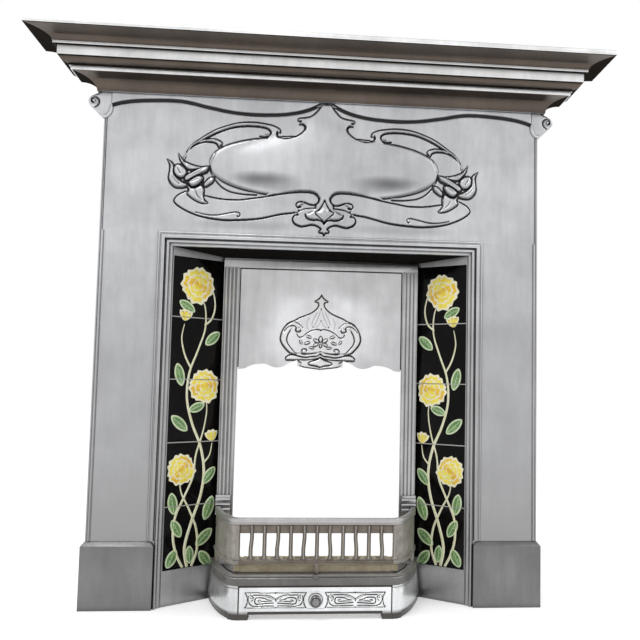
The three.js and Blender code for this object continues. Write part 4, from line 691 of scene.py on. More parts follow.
def cornice():
    # The two narrow steps (3) are painted shadow lines.
    return round_the_front([
        (2, [(0, 1218), (0, 1226)]),
        (1, quarter(15.5, 1226, 62, 1256.2, True, 16)),
        (0, [(62.6, 1257), (64.6, 1257), (65, 1257.5), (65, 1264.5), (64.6, 1265)]),
        (3, [(68.4, 1265), (69, 1265.6)]),
        (1, quarter(69, 1268.5, 86, 1280.6, False, 10)),
        (3, [(86, 1281.4), (89.4, 1281.6)]),
        (0, [(90, 1282.4), (90, 1304.4), (89.4, 1305)]),
        (2, [(58, 1305), (58, 1299), (82, 1299), (82, 1290), (57, 1265), (47, 1259), (15, 1253),
             (7, 1234), (-8, 1234), (-8, 1218)]),
    ])


ARCHITRAVE_SECTION = (
    [(0, 18), (0, 15.2)] + quarter(0, 15.2, 7, 10.5, True, 5) + [(7.2, 10.2), (7.2, 4)]
    + [(11 - 4 * math.cos(a), 4.3 - 4 * math.sin(a)) for a in np.linspace(0, math.pi, 9)]
    + [(15.2, 7.2), (17.3, 7.2), (17.5, 6.8), (17.5, -3)]
    + [(21.5 - 4 * math.cos(a), -3 - 1.8 * math.sin(a)) for a in np.linspace(0, math.pi, 9)]
    + [(26, -1.8), (28.6, -1.6)]
    + [(31 - 2.2 * math.cos(a), -1.8 - 1.8 * math.sin(a)) for a in np.linspace(0, math.pi, 7)]
    + [(34, -0.4), (34, 8), (24, 8), (18, 18)]
)
ARCHITRAVE_STATIONS = [
    lambda e, y: (-ARRIS_X - e, y, PLINTH_TOP),
    lambda e, y: (-ARRIS_X - e, y, OPENING_TOP + e),
    lambda e, y: (ARRIS_X + e, y, OPENING_TOP + e),
    lambda e, y: (ARRIS_X + e, y, PLINTH_TOP),
]
STRIP = [(ARRIS_X + e, y) for e, y in ARCHITRAVE_SECTION if e < 15.3 and y < 18] + [
    (ARRIS_X + 15.3, 8), (ARRIS_X + 15, 18), (ARRIS_X, 18)]  # it runs on beside the plinth


def column(points, z0, z1):
    """A plan outline (x, y) carried up."""
    return swept(points, [lambda x, y: (x, y, z0), lambda x, y: (x, y, z1)])


def jamb():
    foot, head = PLINTH_TOP, FRIEZE_TOP + 1
    bead_points = [(529.5 + 2.6 * math.cos(a), -2.6 * math.sin(a))
                   for a in np.linspace(0, math.pi, 11)]
    plan = ([(397, 8), (397, 0), (524.6, 0), (525.8, 0.9)] + bead_points[::-1]
            + [(533.2, 0.9), (534.5, 0), (536.2, 0), (537, 0.8), (537, 18), (529, 18), (529, 8)])
    plate = column(plan, foot, FRIEZE_BOTTOM - 2)
    upper = column([(529.4, 8), (529.4, 0.9)] + [p for p in plan if p[0] > 529.5] + [(529.4, 18)],
                   FRIEZE_BOTTOM - 2, head)
    return merged(plate, upper)


def corner_scroll():
    """The rolled scroll under each end of the cornice, with its eye."""
    outline = smooth([[-17.5, -25], [-21.5, -37], [-17, -51], [-6, -62], [5, -59], [15, -50],
                      [26, -39], [36, -29], [38.5, -20], [34, -11], [26, -6], [14, 0]], 5)
    outline = outline + [JAMB_X, FRIEZE_TOP]
    field = Relief(JAMB_X - 26, JAMB_X + 42, FRIEZE_TOP - 66, FRIEZE_TOP + 3, 1.0)
    outline = np.concatenate([outline, [[JAMB_X + 14, FRIEZE_TOP + 3],
                                        [JAMB_X - 17.5, FRIEZE_TOP + 3]]])
    depth = distance(field.X, field.Z, outline)
    field.H = 5.0 + 7.0 * np.sqrt(np.clip(1 - (1 - np.clip(depth / 8.0, 0, 1)) ** 2, 0, 1))
    level = np.clip((field.Z - FRIEZE_TOP + 38) / 20, 0, 1) * (field.X < JAMB_X + 6)
    field.H = field.H * (1 - level) + 12.0 * level * (depth > -0.6)
    spiral = [[JAMB_X + 24 + (3 + 2.1 * a) * math.cos(a - 1.2),
               FRIEZE_TOP - 22 + (3 + 2.1 * a) * math.sin(a - 1.2)]
              for a in np.linspace(0, 6.4, 60)]
    field.raise_by(spiral, groove(4.5, 1.7), margin=8, closed=False, join="add")
    field.raise_by([[JAMB_X + 24, FRIEZE_TOP - 22], [JAMB_X + 24.1, FRIEZE_TOP - 22]],
                   bead(4.0, 4.0), margin=6, closed=False, join="add")
    lobe = smooth([[-14, -30], [-10, -46], [-2, -54], [8, -50]], 5) + [JAMB_X, FRIEZE_TOP]
    field.raise_by(lobe, groove(2.0, 1.8), margin=8, closed=False, join="add")
    return field.solid(5.0, 14.0, whole_cells(depth > -0.5))


def lugs():
    parts = []
    for z in (420.0, 1000.0):
        ring = [(515 + 4 * math.cos(a), z + 4 * math.sin(a)) for a in np.linspace(0, 5.8905, 16)]
        frame_points = []
        for cx, cz in ring:
            dx, dz = cx - 515, cz - z
            reach = min(15 / abs(dx) if dx else 1e9, 22 / abs(dz) if dz else 1e9)
            frame_points.append((515 + dx * reach, z + dz * reach))
        count = len(ring)
        vertices = [(x, y, h) for y in (12, 18) for x, h in ring + frame_points]
        faces = []
        for i in range(count):
            n = (i + 1) % count
            faces += [(i, n, count + n, count + i),
                      (2 * count + i, 3 * count + i, 3 * count + n, 2 * count + n),
                      (i, 2 * count + i, 2 * count + n, n),
                      (count + i, count + n, 3 * count + n, 3 * count + i)]
        parts.append((vertices, faces, [0] * len(faces)))
    return merged(*parts)


def corner_web(radius=11.5, turn=11.0):
    """The web behind the rounded inner top corner of a plinth."""
    x, z = ARRIS_X + 15.3 + turn, PLINTH_TOP - 0.3 - turn
    outline = [(x - radius * math.cos(a), z + radius * math.sin(a))
               for a in np.linspace(0.27, 1.38, 9)]
    outline += [(outline[-1][0], PLINTH_TOP + 0.7), (x - turn - 0.1, PLINTH_TOP + 0.7)]
    return swept(outline, [lambda u, v: (u, 2.0, v), lambda u, v: (u, 12.0, v)])


def front_casting():
    architrave = swept(ARCHITRAVE_SECTION, ARCHITRAVE_STATIONS)
    right = merged(jamb(), column(STRIP, 0, PLINTH_TOP + 1), lugs(), corner_web())
    body = merged(architrave, right, mirrored(right))
    piece("surround_mouldings", body, JAMB, "casing", ("surround",))
    scroll = corner_scroll()
    piece("surround_scrolls", merged(scroll, mirrored(scroll)), FRIEZE, "casing", ("surround",))
    field, part = frieze()
    shaded_piece("surround_frieze", field, part, FRIEZE_RELIEF, "casing", ("surround",))
    piece("surround_cornice", cornice(), MOULDING_IRONS, "casing", ("surround",))


front_casting()


def shelf():
    # The undersides of the bed and of the slab (3) are painted as shadow.
    rim = round_the_front([
        (3, [(58, BED_BOTTOM)]),
        (0, [(98, BED_BOTTOM), (98.5, BED_BOTTOM + 0.5), (98.5, BED_TOP - 0.5), (98, BED_TOP)]),
        (1, quarter(99.5, BED_TOP, 149, SLAB_BOTTOM - 0.8, True, 16)[:-1]),
        (3, [(149, SLAB_BOTTOM - 0.8)]),
        (0, [(150.6, SLAB_BOTTOM + 0.2), (151.5, SLAB_BOTTOM + 1.6)]
            + [(151.5 - 3.4 * (1 - math.cos(a)), SHELF_TOP - 3.4 + 3.4 * math.sin(a))
               for a in np.linspace(0.15, math.pi / 2, 6)]),
        (0, [(58, SHELF_TOP), (58, SHELF_TOP - 6), (119.5, SHELF_TOP - 6), (92, BED_TOP + 6),
             (58, BED_BOTTOM + 6)]),
    ])
    top = block(-JAMB_X - 58, JAMB_X + 58, -58, RETURN_DEPTH, SHELF_TOP - 6, SHELF_TOP)
    piece("mantel_shelf_fine", merged(rim, top), MOULDING_IRONS, "casing", ("mantel_shelf",))


shelf()

# ---- Hood: scalloped plate with an onion crest between scrolls ----
HOOD_X, HOOD_TOP, HOOD_FRONT, HOOD_BACK = 205.4, 820.1, 96.926, 101.926
EAR_X, EAR_BACK, EAR_DROPS = 219, 109.226, (35, 150)
FRAME_X, FRAME_TOP = 207.7, 822.4  # the inner frame's opening round the hood
HOOD_EDGE = np.concatenate([
    smooth([(0, -254), (10, -252.6), (24.5, -251), (42.4, -248.5), (50, -246), (57, -246)]),
    smooth([(58, -230), (72.5, -234.5), (84.2, -240.7), (95.9, -246.9), (110.6, -249.3),
            (125.5, -246), (140.4, -240.3), (163.9, -242.3), (178.5, -247), (190, -253),
            (HOOD_X, -255)])])
HOOD_LINES = [
    (2.2, [(0, -62.7), (4.4, -69.5), (10.9, -75.2), (16.8, -79), (9.2, -81.8), (7, -85.7),
        (8.1, -91.7), (13.3, -99.4), (25, -108.8), (39.8, -115.8), (54.6, -121.6), (66.4, -128.6),
        (78.2, -133.7), (88.4, -142), (96.1, -152.7), (100.5, -164.8), (102, -176.9),
        (98.1, -188.7), (88.2, -202), (77.6, -212.2)]),
    (1.6, [(87, -139), (75.2, -133), (63.2, -134), (54.1, -139), (46, -147)]),
    (2.4, [(93.9, -157.2), (86.7, -149.5), (77.9, -143.3), (69, -142.5), (62.9, -147.4),
        (65.1, -153.5), (61.1, -158.5), (53.7, -158.3), (50.8, -154)]),
    (1.4, [(77.6, -155.3), (83.8, -167.4), (85.9, -179.5), (81.1, -191.3), (70.3, -204.6),
        (61.1, -214.8)]),
    (2.2, [(60.5, -163), (59.4, -166.9), (54.8, -171.3), (45.9, -170.2), (38.6, -163.4),
        (29.8, -157.1), (20.9, -153.3), (9, -150.6), (0, -152.8)]),
    (2.4, [(87.6, -224.4), (78.9, -217.6), (67, -216.5), (53.6, -220.1), (37.1, -222.7),
        (22.3, -220.6), (7.4, -219.1), (0, -213.5)]),
    (1.6, [(37.5, -206.5), (34, -203.8), (37.7, -200.4), (45.1, -201.5), (49.3, -209),
        (43.2, -215), (25.3, -213.5), (10.5, -210.5), (0, -208)]),
    (2.0, [(0, -222.4), (10.1, -228.7), (22, -232), (30.8, -238.1), (24.7, -242.5), (9.7, -245.2),
        (0, -248.8)]),
    (1.8, [(54.7, -233.2), (48.1, -236.1), (50, -243)]),
    (0.9, [(0, -97), (5.4, -114.3), (12.5, -132.6), (21.1, -147.9)]),
    (0.9, [(10.1, -108), (19, -124), (23, -138), (18, -146), (8, -142), (0, -128)]),
    (0.8, [(30, -122), (36, -136), (33, -150)]),
]
# Leaves and petals inside the crest: place, turn, length and width.
HOOD_LEAVES = [
    (0, -176, 90, 16, 9), (11, -180, 35, 17, 8), (12, -190, -30, 15, 7), (30, -170, 20, 15, 6),
    (34, -186, -20, 16, 6), (0, -193, 90, 10, 6), (50, -184, 60, 12, 5), (22, -198, 8, 16, 4.5),
]


def turned_to(outline, cx, cz, turn):
    """An outline turned by `turn` degrees and moved to a place."""
    angle = math.radians(turn)
    return outline @ np.array([[math.cos(angle), math.sin(angle)],
                               [-math.sin(angle), math.cos(angle)]]) + [cx, cz]


def leaf(cx, cz, turn, length, width, steps=9):
    """A pointed oval about its middle."""
    t = np.linspace(0, math.pi, steps)
    upper = np.stack([-np.cos(t) * length / 2, np.sin(t) ** 1.3 * width / 2], axis=1)
    return turned_to(np.concatenate([upper, (upper * [1, -1])[::-1][1:-1]]), cx, cz, turn)


def hood():
    field = Relief(-HOOD_X, HOOD_X, HOOD_TOP - 256, HOOD_TOP, 1.1)
    at = np.array([0.0, HOOD_TOP])
    onion = both_sides(smooth(HOOD_LINES[0][1]))
    field.raise_by(onion + at, pillow(1.8, 5.0), margin=3)
    garland = spliced([(78.2, -133.7), (88.4, -142), (96.1, -152.7), (100.5, -164.8),
                       (102, -176.9), (98.1, -188.7), (88.2, -202), (77.6, -212.2)],
                      [(61.1, -214.8), (70.3, -204.6), (81.1, -191.3), (85.9, -179.5),
                       (83.8, -167.4), (77.6, -155.3), (72, -146)])
    field.both(garland + at, pillow(4.2, 6.5), margin=3)
    base = both_sides(spliced(HOOD_LINES[5][1][::-1], [(86, -230), (62, -229), (36, -229),
                                                        (16, -227), (0, -222)]))
    field.raise_by(base + at, pillow(4.0, 4.0), margin=3)
    pendant = both_sides(smooth([(0, -226), (30, -229), (54.7, -231), (50, -236), (52, -243),
                                 (42, -247), (24, -249.5), (8, -251), (0, -252)]))
    field.raise_by(pendant + at, pillow(2.6, 3.0), margin=3)
    field.raise_by(both_sides(smooth(HOOD_LINES[7][1])) + at, pillow(4.6, 7.0), margin=3)
    for cx, cz in ((57.5, -151.5), (41, -207)):
        ring = [(cx + 1.4 * math.cos(a), cz + 1.4 * math.sin(a)) for a in np.linspace(0, 6, 9)]
        field.both(np.array(ring) + at, bead(4.4, 4.2), margin=6)
    for cx, cz, turn, length, width in HOOD_LEAVES:
        outline = leaf(cx, cz, turn, length, width) + at
        field.both(outline, groove(0.9, 1.3), margin=5, join="add")
        field.both(outline, pillow(4.6, 4.0), margin=3)
    for depth, line in HOOD_LINES:
        field.cut(smooth(line) + at, depth, 1.45)
    field.H = np.clip(field.H, -2.6, 4.8)
    # Painted highlight: the plate is left brightest round the crest and painted darker away from
    # it.
    highlight_reach = np.hypot(field.X / 130, (field.Z - HOOD_TOP + 160) / 105)
    field.tone += 0.29 * (1 - np.exp(-highlight_reach ** 4))
    outline = both_sides(np.concatenate([HOOD_EDGE, [(HOOD_X, 0)]])) + at
    keep = whole_cells(distance(field.X, field.Z, outline) > -0.35)
    field.snapped(outline, keep)
    plate = field.solid(HOOD_FRONT, HOOD_BACK, keep)
    ears = []
    for drop in EAR_DROPS:
        z = HOOD_TOP - drop
        ears.append(block(HOOD_X - 12, HOOD_X - 1, HOOD_BACK - 1, EAR_BACK, z - 12, z + 12))
        ears.append(block(HOOD_X - 12, EAR_X, EAR_BACK - 4, EAR_BACK, z - 12, z + 12))
    shaded_piece("hood_fine", field, merged(plate, *ears, *[mirrored(ear) for ear in ears]),
                 HOOD_RELIEF, "casing", ("hood",))
    # Fire cement in the gap between the hood and the frame.
    depth, inner, foot = (98.5, 104.5), HOOD_X + 0.4, HOOD_TOP - 250
    cement = merged(block(inner, FRAME_X, *depth, foot, FRAME_TOP),
                    block(-FRAME_X, -inner, *depth, foot, FRAME_TOP),
                    block(-inner, inner, *depth, HOOD_TOP + 0.3, FRAME_TOP))
    piece("hood_joint", cement, BACK, "casing")


hood()

# ---- Ash pit cover: strapwork on either side of the knob ----
COVER_X, COVER_TOP, COVER_FOOT, KICK_TOP, KICK_SETBACK = 174.5, 76.7, 23.0, 17.0, 4.0
COVER_FRONT, COVER_BACK, KNOB_Z, MOTIF_X = -91.0, -82.0, 43.35, 90.0
STRAPWORK = [  # grooves of one quarter, about the middle of each half panel
    (1.2, [(-68, 16.4), (-40, 16.6), (-30, 15.8), (0, 16.2)]),
    (1.0, [(-68, -16.4), (-60, -16.8), (0, -16.4)]),
    (1.3, [(-68, 16), (-64.5, 9), (-63, 0), (-64.5, -9), (-68, -16)]),
    (1.3, [(-60.6, 9.4), (-61.5, 1), (-58, -7.4), (-51.3, -12.6), (-40.5, -13.6), (-26.6, -12.6),
        (-5, -12.6)]),
    (1.4, [(-5, -6), (-20, -7), (-36, -8.2), (-43.6, -8), (-46.7, -2.3), (-44.5, 4.4), (-36, 5.7),
        (-25, 4.7), (-19, 1), (-9, 0.2)]),
    (1.2, [(-34, 0), (-39, -0.5), (-36.6, -3.4), (-25, -2.6), (-8, -2.8)]),
    (1.4, [(-50, 11.5), (-40, 11.6), (-22, 11.4), (-10, 8), (0, 1.8)]),
    (1.2, [(-24, 9), (-14, 6.4), (-7, 2.4), (0, -1.4)]),
    (1.0, [(-57, 11.5), (-50.5, 8), (-50, 2), (-54, -1.5)]),
]


def cover():
    field = Relief(-COVER_X, COVER_X, 0.4, COVER_TOP, 0.75)
    X, Z = field.X, field.Z
    foot = COVER_X - COVER_FOOT
    field.H = np.where((Z < KICK_TOP) & (np.abs(X) < foot), -KICK_SETBACK, 0.0)
    field.H -= 1.2 * np.clip((Z - (COVER_TOP - 5.0)) / 1.2, 0, 1)
    panel = both_sides([(0, KNOB_Z + 17.6), (160, KNOB_Z + 17.6), (161, KNOB_Z),
                        (160, KNOB_Z - 17.6), (0, KNOB_Z - 17.6)])
    field.H += 0.7 * (distance(X, Z, panel) > 0)
    for centre in (-MOTIF_X, MOTIF_X):
        for side in (-1, 1):
            for cut, line in STRAPWORK:
                points = smooth(line, 3) * [side, 1] + [centre, KNOB_Z]
                field.raise_by(points, groove(cut * 1.7, 1.25), margin=4, closed=False,
                               join="add")
            ring = [(centre + side * (-53.6 + 2.4 * math.cos(a)), KNOB_Z + 6 + 2.4 * math.sin(a))
                    for a in np.linspace(0, 2 * math.pi, 13)]
            field.raise_by(ring, groove(1.6, 1.1), margin=4, closed=False, join="add")
    field.H -= 0.9 * np.exp(-(np.hypot(X, Z - KNOB_Z) - 14.6) ** 2)  # a ring round the knob
    # Painted shadow in the recessed kick, down both side seams and along the top under the rail.
    field.tone += 0.8 * ((Z < KICK_TOP + 1.4) & (np.abs(X) < foot + 0.5))
    field.tone += (np.abs(X) > COVER_X - 2.3) + 0.85 * (Z > COVER_TOP - 5.0)
    arch = smooth([(-foot, 0.4), (-foot + 3, 8.5), (-foot + 9, 11.2), (0, 11.4), (foot - 9, 11.2),
                   (foot - 3, 8.5), (foot, 0.4)])
    outline = np.concatenate([[(-COVER_X, COVER_TOP), (-COVER_X, 0.4)], arch,
                              [(COVER_X, 0.4), (COVER_X, COVER_TOP)]])
    keep = whole_cells(distance(X, Z, outline) > -0.3)
    field.snapped(outline, keep)
    shaded_piece("ashpan_cover_fine", field, field.solid(COVER_FRONT, COVER_BACK, keep),
                 BRIGHT_RELIEF, "cover", ("ashpan_cover",), smooth_angle=50.0)


cover()


def turned(profile, axis_y, axis_z, count=48):
    """A lathe form about a line along y through x = 0; the profile is (radius, y)."""
    vertices, faces = [], []
    rings = []
    for radius, y in profile:
        start = len(vertices)
        if radius < 1e-6:
            vertices.append((0.0, y + axis_y, axis_z))
            rings.append([start] * count)
        else:
            for i in range(count):
                a = 2 * math.pi * i / count
                vertices.append((radius * math.cos(a), y + axis_y, axis_z + radius * math.sin(a)))
            rings.append(list(range(start, start + count)))
    for low, high in zip(rings, rings[1:]):
        for i in range(count):
            n = (i + 1) % count
            face = [low[i], low[n], high[n], high[i]]
            faces.append(tuple(dict.fromkeys(face)))
    return vertices, faces, [0] * len(faces)


KNOB = [
    (0, 8), (3.5, 8), (3.5, -0.3), (7.5, -0.3), (9, -1), (9, -2.4), (7.6, -3.4), (5.8, -4.4),
    (5.2, -6.5), (6.4, -8.6), (9.6, -10), (12.4, -11.6), (13.5, -13.8), (13.4, -15.6),
    (12.4, -17.2), (10.8, -17.9), (9.9, -17.2), (9.0, -17.6), (8.6, -19.2), (7.2, -20.9),
    (4.4, -21.8), (0, -22.3),
]
piece("ashpan_knob_fine", turned(KNOB, COVER_FRONT, KNOB_Z), KNOB_IRON, "cover",
      ("ashpan_knob",), smooth_angle=50.0)

# ---- Tiles: black glaze, joint lines and a plant drawn in coloured glaze ----
SPLAY, ALONG, BEHIND = (363.0, 22.0), (-0.79487, 0.60678), (0.60678, 0.79487)
TILE_Z, TILE_STEP, TILE_FACE, WINDOW = 79.0, 152.6, 0.3, (0.0, 143.4)
JOINT_BELOW, JOINT_ABOVE = 1.5, 0.9  # how far a joint reaches below and above a tile's foot


def on_splay(part):
    """From (across the tiles, depth behind their face, height) to the right-hand splay."""
    vertices, faces, which = part
    placed = [(SPLAY[0] + ALONG[0] * u + BEHIND[0] * v, SPLAY[1] + ALONG[1] * u + BEHIND[1] * v, z)
              for u, v, z in vertices]
    return placed, faces, which


def normals(tangent):
    """Unit normals to the left of each tangent."""
    tangent = tangent / np.maximum(np.hypot(tangent[:, 0], tangent[:, 1]), 1e-9)[:, None]
    return np.stack([-tangent[:, 1], tangent[:, 0]], axis=1)


def inset(outline, amount):
    """Each corner moved inwards by about `amount`."""
    outline = np.asarray(outline, dtype=float)
    before, after = np.roll(outline, 1, axis=0), np.roll(outline, -1, axis=0)
    normal = normals(after - before)
    area = np.sum(outline[:, 0] * after[:, 1] - after[:, 0] * outline[:, 1])
    return outline + normal * (amount if area > 0 else -amount)


def dab(outline, rise, number, edge=0.9):
    """A drop of glaze: flat on the tile, rounded up to `rise` above it."""
    outline = np.asarray(outline, dtype=float)
    rings = [(outline, 0.25), (inset(outline, edge * 0.3), -rise * 0.7),
             (inset(outline, edge), -rise)]
    count = len(outline)
    vertices = [(u, TILE_FACE + v, z) for ring, v in rings for u, z in ring]
    faces = [tuple(range(count)), tuple(range(2 * count, 3 * count))[::-1]] + tube(count, 3)
    return vertices, faces, [number] * len(faces)


def stroke(points, width, rise, number, taper=0.35):
    """A trailed line of glaze, thinner towards its end."""
    curve = smooth(points, 6)
    normal = normals(np.gradient(curve, axis=0))
    share = np.linspace(0, 1, len(curve))
    half = (width / 2 * (1 - (1 - taper) * share ** 2))[:, None]
    section = [(1, 0.25), (0.82, -0.6 * rise), (0.35, -rise), (-0.35, -rise), (-0.82, -0.6 * rise),
               (-1, 0.25)]

    def station(i):
        def place(across, depth):
            u, z = curve[i] + normal[i] * half[i] * across
            return u, TILE_FACE + depth, z
        return place
    return swept(section, [station(i) for i in range(len(curve))], [number] * len(section))


def petal(cu, cz, turn, length, width, notch=0.1):
    """A rounded petal from a centre outwards, with a shallow notch at its tip."""
    t = np.linspace(0, 1, 13)
    along = length * (1 - (1 - t) ** 1.6)
    across = width / 2 * np.sin(np.clip(t, 0, 1) ** 0.75 * math.pi * 0.86) ** 0.8
    along[-1] = length * (1 - notch)
    upper = np.stack([along, across], axis=1)
    upper[-1, 1] = 0.0
    upper[0, 1] = width * 0.06
    return turned_to(np.concatenate([upper, (upper * [1, -1])[::-1][1:]]), cu, cz, turn)


def blossom(cu, cz, size, turn):
    """An open flower of two rows of petals: cream edges, yellow faces, deep yellow heart."""
    parts = []
    for row, (count, length, width) in enumerate(((7, 1.0, 0.86), (6, 0.66, 0.62),
                                                  (5, 0.36, 0.4))):
        for i in range(count):
            angle = turn + 360 * i / count + 26 * row
            reach = size * length * (1 + 0.07 * math.sin(3 * i + row))
            rise = 0.35 + 0.4 * row + 0.05 * (i % 3)
            outline = petal(cu, cz, angle, reach, size * width)
            parts.append(dab(outline, rise, 0, 1.6))
            parts.append(dab(petal(cu, cz, angle, reach * 0.86, size * width * 0.72, 0.06),
                             rise + 0.2, 1 if (i + row) % 3 else 5, 1.2))
    for i in range(9):
        angle = math.radians(40 * i + turn)
        reach = size * (0.07 + 0.05 * (i % 2))
        ring = [(cu + reach * math.cos(angle) + 1.9 * math.cos(a),
                 cz + reach * math.sin(angle) + 1.9 * math.sin(a))
                for a in np.linspace(0, 2 * math.pi, 9)[:-1]]
        parts.append(dab(ring, 1.75, 5, 0.7))
    return parts


def frond(cu, cz, turn, length, width):
    """A leaf: pale rim, green face and a dark vein."""
    outline = leaf(cu, cz, turn, length, width, 13)
    face = leaf(cu, cz, turn, length * 0.84, width * 0.7, 13)
    a = math.radians(turn)
    ends = [(cu + s * length * 0.38 * math.cos(a), cz + s * length * 0.38 * math.sin(a))
            for s in (-1, 0, 1)]
    ribs = []
    for s in (-0.18, 0.02, 0.2):
        at = (cu + s * length * math.cos(a), cz + s * length * math.sin(a))
        for side in (-1, 1):
            b = a + side * 0.8
            ribs.append(stroke([at, (at[0] + width * 0.26 * math.cos(b),
                                     at[1] + width * 0.26 * math.sin(b))], 1.6, 0.9,
                               4 if side > 0 else 3))
    return [dab(outline, 0.4, 4, 1.2), dab(face, 0.65, 2, 1.2), stroke(ends, 2.0, 0.95, 4)] + ribs


STEMS = [  # (points, width) across the tiles and in height
    ([(66, 84), (58, 130), (74, 190), (96, 250), (104, 310), (92, 372), (66, 430), (50, 490),
        (54, 552), (76, 610), (94, 664), (92, 716), (78, 742)], 8.4),
    ([(78, 84), (92, 122), (88, 172), (66, 222), (44, 262), (38, 296)], 7.2),
    ([(54, 84), (36, 118), (26, 160), (30, 206), (52, 252), (74, 300), (80, 352), (98, 410),
        (106, 462), (100, 500)], 7.0),
    ([(57, 566), (40, 596), (30, 636), (36, 672)], 5.2),
    ([(101, 330), (118, 350), (124, 380)], 4.6),
    ([(92, 672), (112, 690), (120, 724), (112, 760), (96, 790)], 5.2),
]
BLOSSOMS = [
    (70, 770, 47, 10), (97, 520, 43, 48), (42, 318, 39, 80),
]
BUDS = [
    (36, 690, 80), (124, 394, 100),
]
FRONDS = [
    (42, 716, 150, 50, 25), (116, 640, 40, 52, 27), (28, 548, 105, 58, 27), (78, 468, 20, 46, 24),
    (32, 430, 140, 58, 27), (118, 300, 50, 52, 26), (120, 220, 70, 62, 30), (22, 238, 100, 54, 27),
    (110, 150, 40, 58, 29), (34, 178, 120, 50, 26), (24, 108, 60, 48, 28), (114, 98, 130, 50, 28),
    (72, 112, 95, 44, 24),
]


def plant():
    parts = []
    for points, width in STEMS:
        parts.append(stroke(points, width, 0.6, 0))
        parts.append(stroke(points, width * 0.34, 0.85, 4))
    for cu, cz, turn, length, width in FRONDS:
        parts += frond(cu, cz, turn, length, width)
    for cu, cz, turn in BUDS:
        for k, spread_by in enumerate((-26, 26, 0)):
            parts.append(dab(petal(cu, cz - 10, turn + spread_by, 30, 17), 0.5 + 0.2 * k, 0, 1.4))
            parts.append(dab(petal(cu, cz - 10, turn + spread_by, 25, 11), 0.7 + 0.2 * k, 1, 1.2))
    for cu, cz, size, turn in BLOSSOMS:
        parts += blossom(cu, cz, size, turn)
    return merged(*parts)


def cut_to_tiles(part, name, sign):
    """The drawing, parted where one tile meets the next."""
    vertices, faces, which = part
    whole = bpy.data.meshes.new(name)
    whole.from_pydata([tuple(v) for v in vertices], [], faces)
    whole.polygons.foreach_set("material_index", np.asarray(which, dtype=np.int32))
    joined = bmesh.new()
    for i in range(5):
        tile = bmesh.new()
        tile.from_mesh(whole)
        foot = TILE_Z + i * TILE_STEP
        for height, above in ((foot + JOINT_ABOVE, False), (foot + TILE_STEP - JOINT_BELOW, True)):
            bmesh.ops.bisect_plane(tile, geom=tile.verts[:] + tile.edges[:] + tile.faces[:],
                                   plane_co=(0, 0, height), plane_no=(0, 0, 1),
                                   clear_outer=above, clear_inner=not above)
            rims = [edge for edge in tile.edges if edge.is_boundary]
            bmesh.ops.holes_fill(tile, edges=rims, sides=0)
        held = bpy.data.meshes.new(f"{name}_{i}")
        tile.to_mesh(held)
        tile.free()
        joined.from_mesh(held)
    count = len(joined.verts)
    out = bpy.data.meshes.new(name)
    joined.to_mesh(out)
    joined.free()
    flat = np.empty(count * 3)
    out.vertices.foreach_get("co", flat)
    u, v, z = flat.reshape(-1, 3).T
    x = sign * (SPLAY[0] + ALONG[0] * u + BEHIND[0] * v)
    y = SPLAY[1] + ALONG[1] * u + BEHIND[1] * v
    out.vertices.foreach_set("co", metres(np.stack([x, y, z], axis=1)).reshape(-1))
    for material in (CREAM, YELLOW, LEAF, VEIN, PALE_LEAF, AMBER):
        out.materials.append(material)
    return out


def on_side(part, sign):
    return mirrored(on_splay(part)) if sign < 0 else on_splay(part)


SIDES = (("left", -1), ("right", 1))
drawing = plant()
for side, sign in SIDES:
    for i in range(1, 6):
        rounded_copy(f"tile_{side}_{i}_glazed", f"tile_{side}_{i}", "casing", GLAZE, 1.4)
    finished(f"tile_plant_{side}", cut_to_tiles(drawing, f"tile_plant_{side}", sign), "casing", (),
             40.0, 0)
    joints = [block(*WINDOW, TILE_FACE + 0.1, 6.0, height - JOINT_BELOW, height + JOINT_ABOVE)
              for height in (TILE_Z + i * TILE_STEP for i in range(1, 5))]
    piece(f"tile_joints_{side}", on_side(merged(*joints), sign), GROUT, "casing")

# Filler in the skirts' screw holes, flush with their faces.
PLUG_RADIUS, PLUG_FRONT, PLUG_BACK = 4.4, -2.97, -1.2
for side, sign in SIDES:
    plugs = []
    for i in (1, 2):
        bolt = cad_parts[f"backplate_bolt_{side}_{i}"]
        middle = np.mean([corner[:] for corner in bolt.bound_box], axis=0) * 1000
        x, y, z = middle - [0, Y_SHIFT, 0]
        across = (abs(x) - SPLAY[0]) * ALONG[0] + (y - SPLAY[1]) * ALONG[1]
        ring = [(across + PLUG_RADIUS * math.cos(a), z + PLUG_RADIUS * math.sin(a))
                for a in np.linspace(0, 2 * math.pi, 19)[:-1]]
        plugs.append(swept(ring, [lambda u, height: (u, PLUG_FRONT, height),
                                  lambda u, height: (u, PLUG_BACK, height)]))
    piece(f"skirt_plugs_{side}", on_side(merged(*plugs), sign), SKIRT, "casing")

# ---- Plain castings: rounded copies of the frame's own pieces ----
for side, _ in SIDES:
    rounded_copy(f"plinth_{side}_fine", f"plinth_{side}", "casing", PLINTH, 1.0)
    rounded_copy(f"base_wing_{side}_fine", f"base_wing_{side}", "casing", BRIGHT, 0.8)

BAR_COUNT, BAR_PITCH, BAR_WAVE, BAR_FRONT = 13, 29.667, 1.3, -91.0
BAR_FOOT, BAR_HEAD, WAVE_OFF = 0.136, 0.212, 0.0009  # metres; the last is taken off each wave
CAST_HEIGHTS = (0.0, 0.123, 0.137, 0.198, 0.210, 0.226)
SHOWN_HEIGHTS = (0.0, 0.123, 0.1335, 0.1915, 0.210, 0.226)
CHEEKS_FROM, HIGHLIGHT_FROM = 0.176, 0.2115
bars = rounded_copy("fire_bars_fine", "fire_bars", "fire_bars", BAR, 0.6)
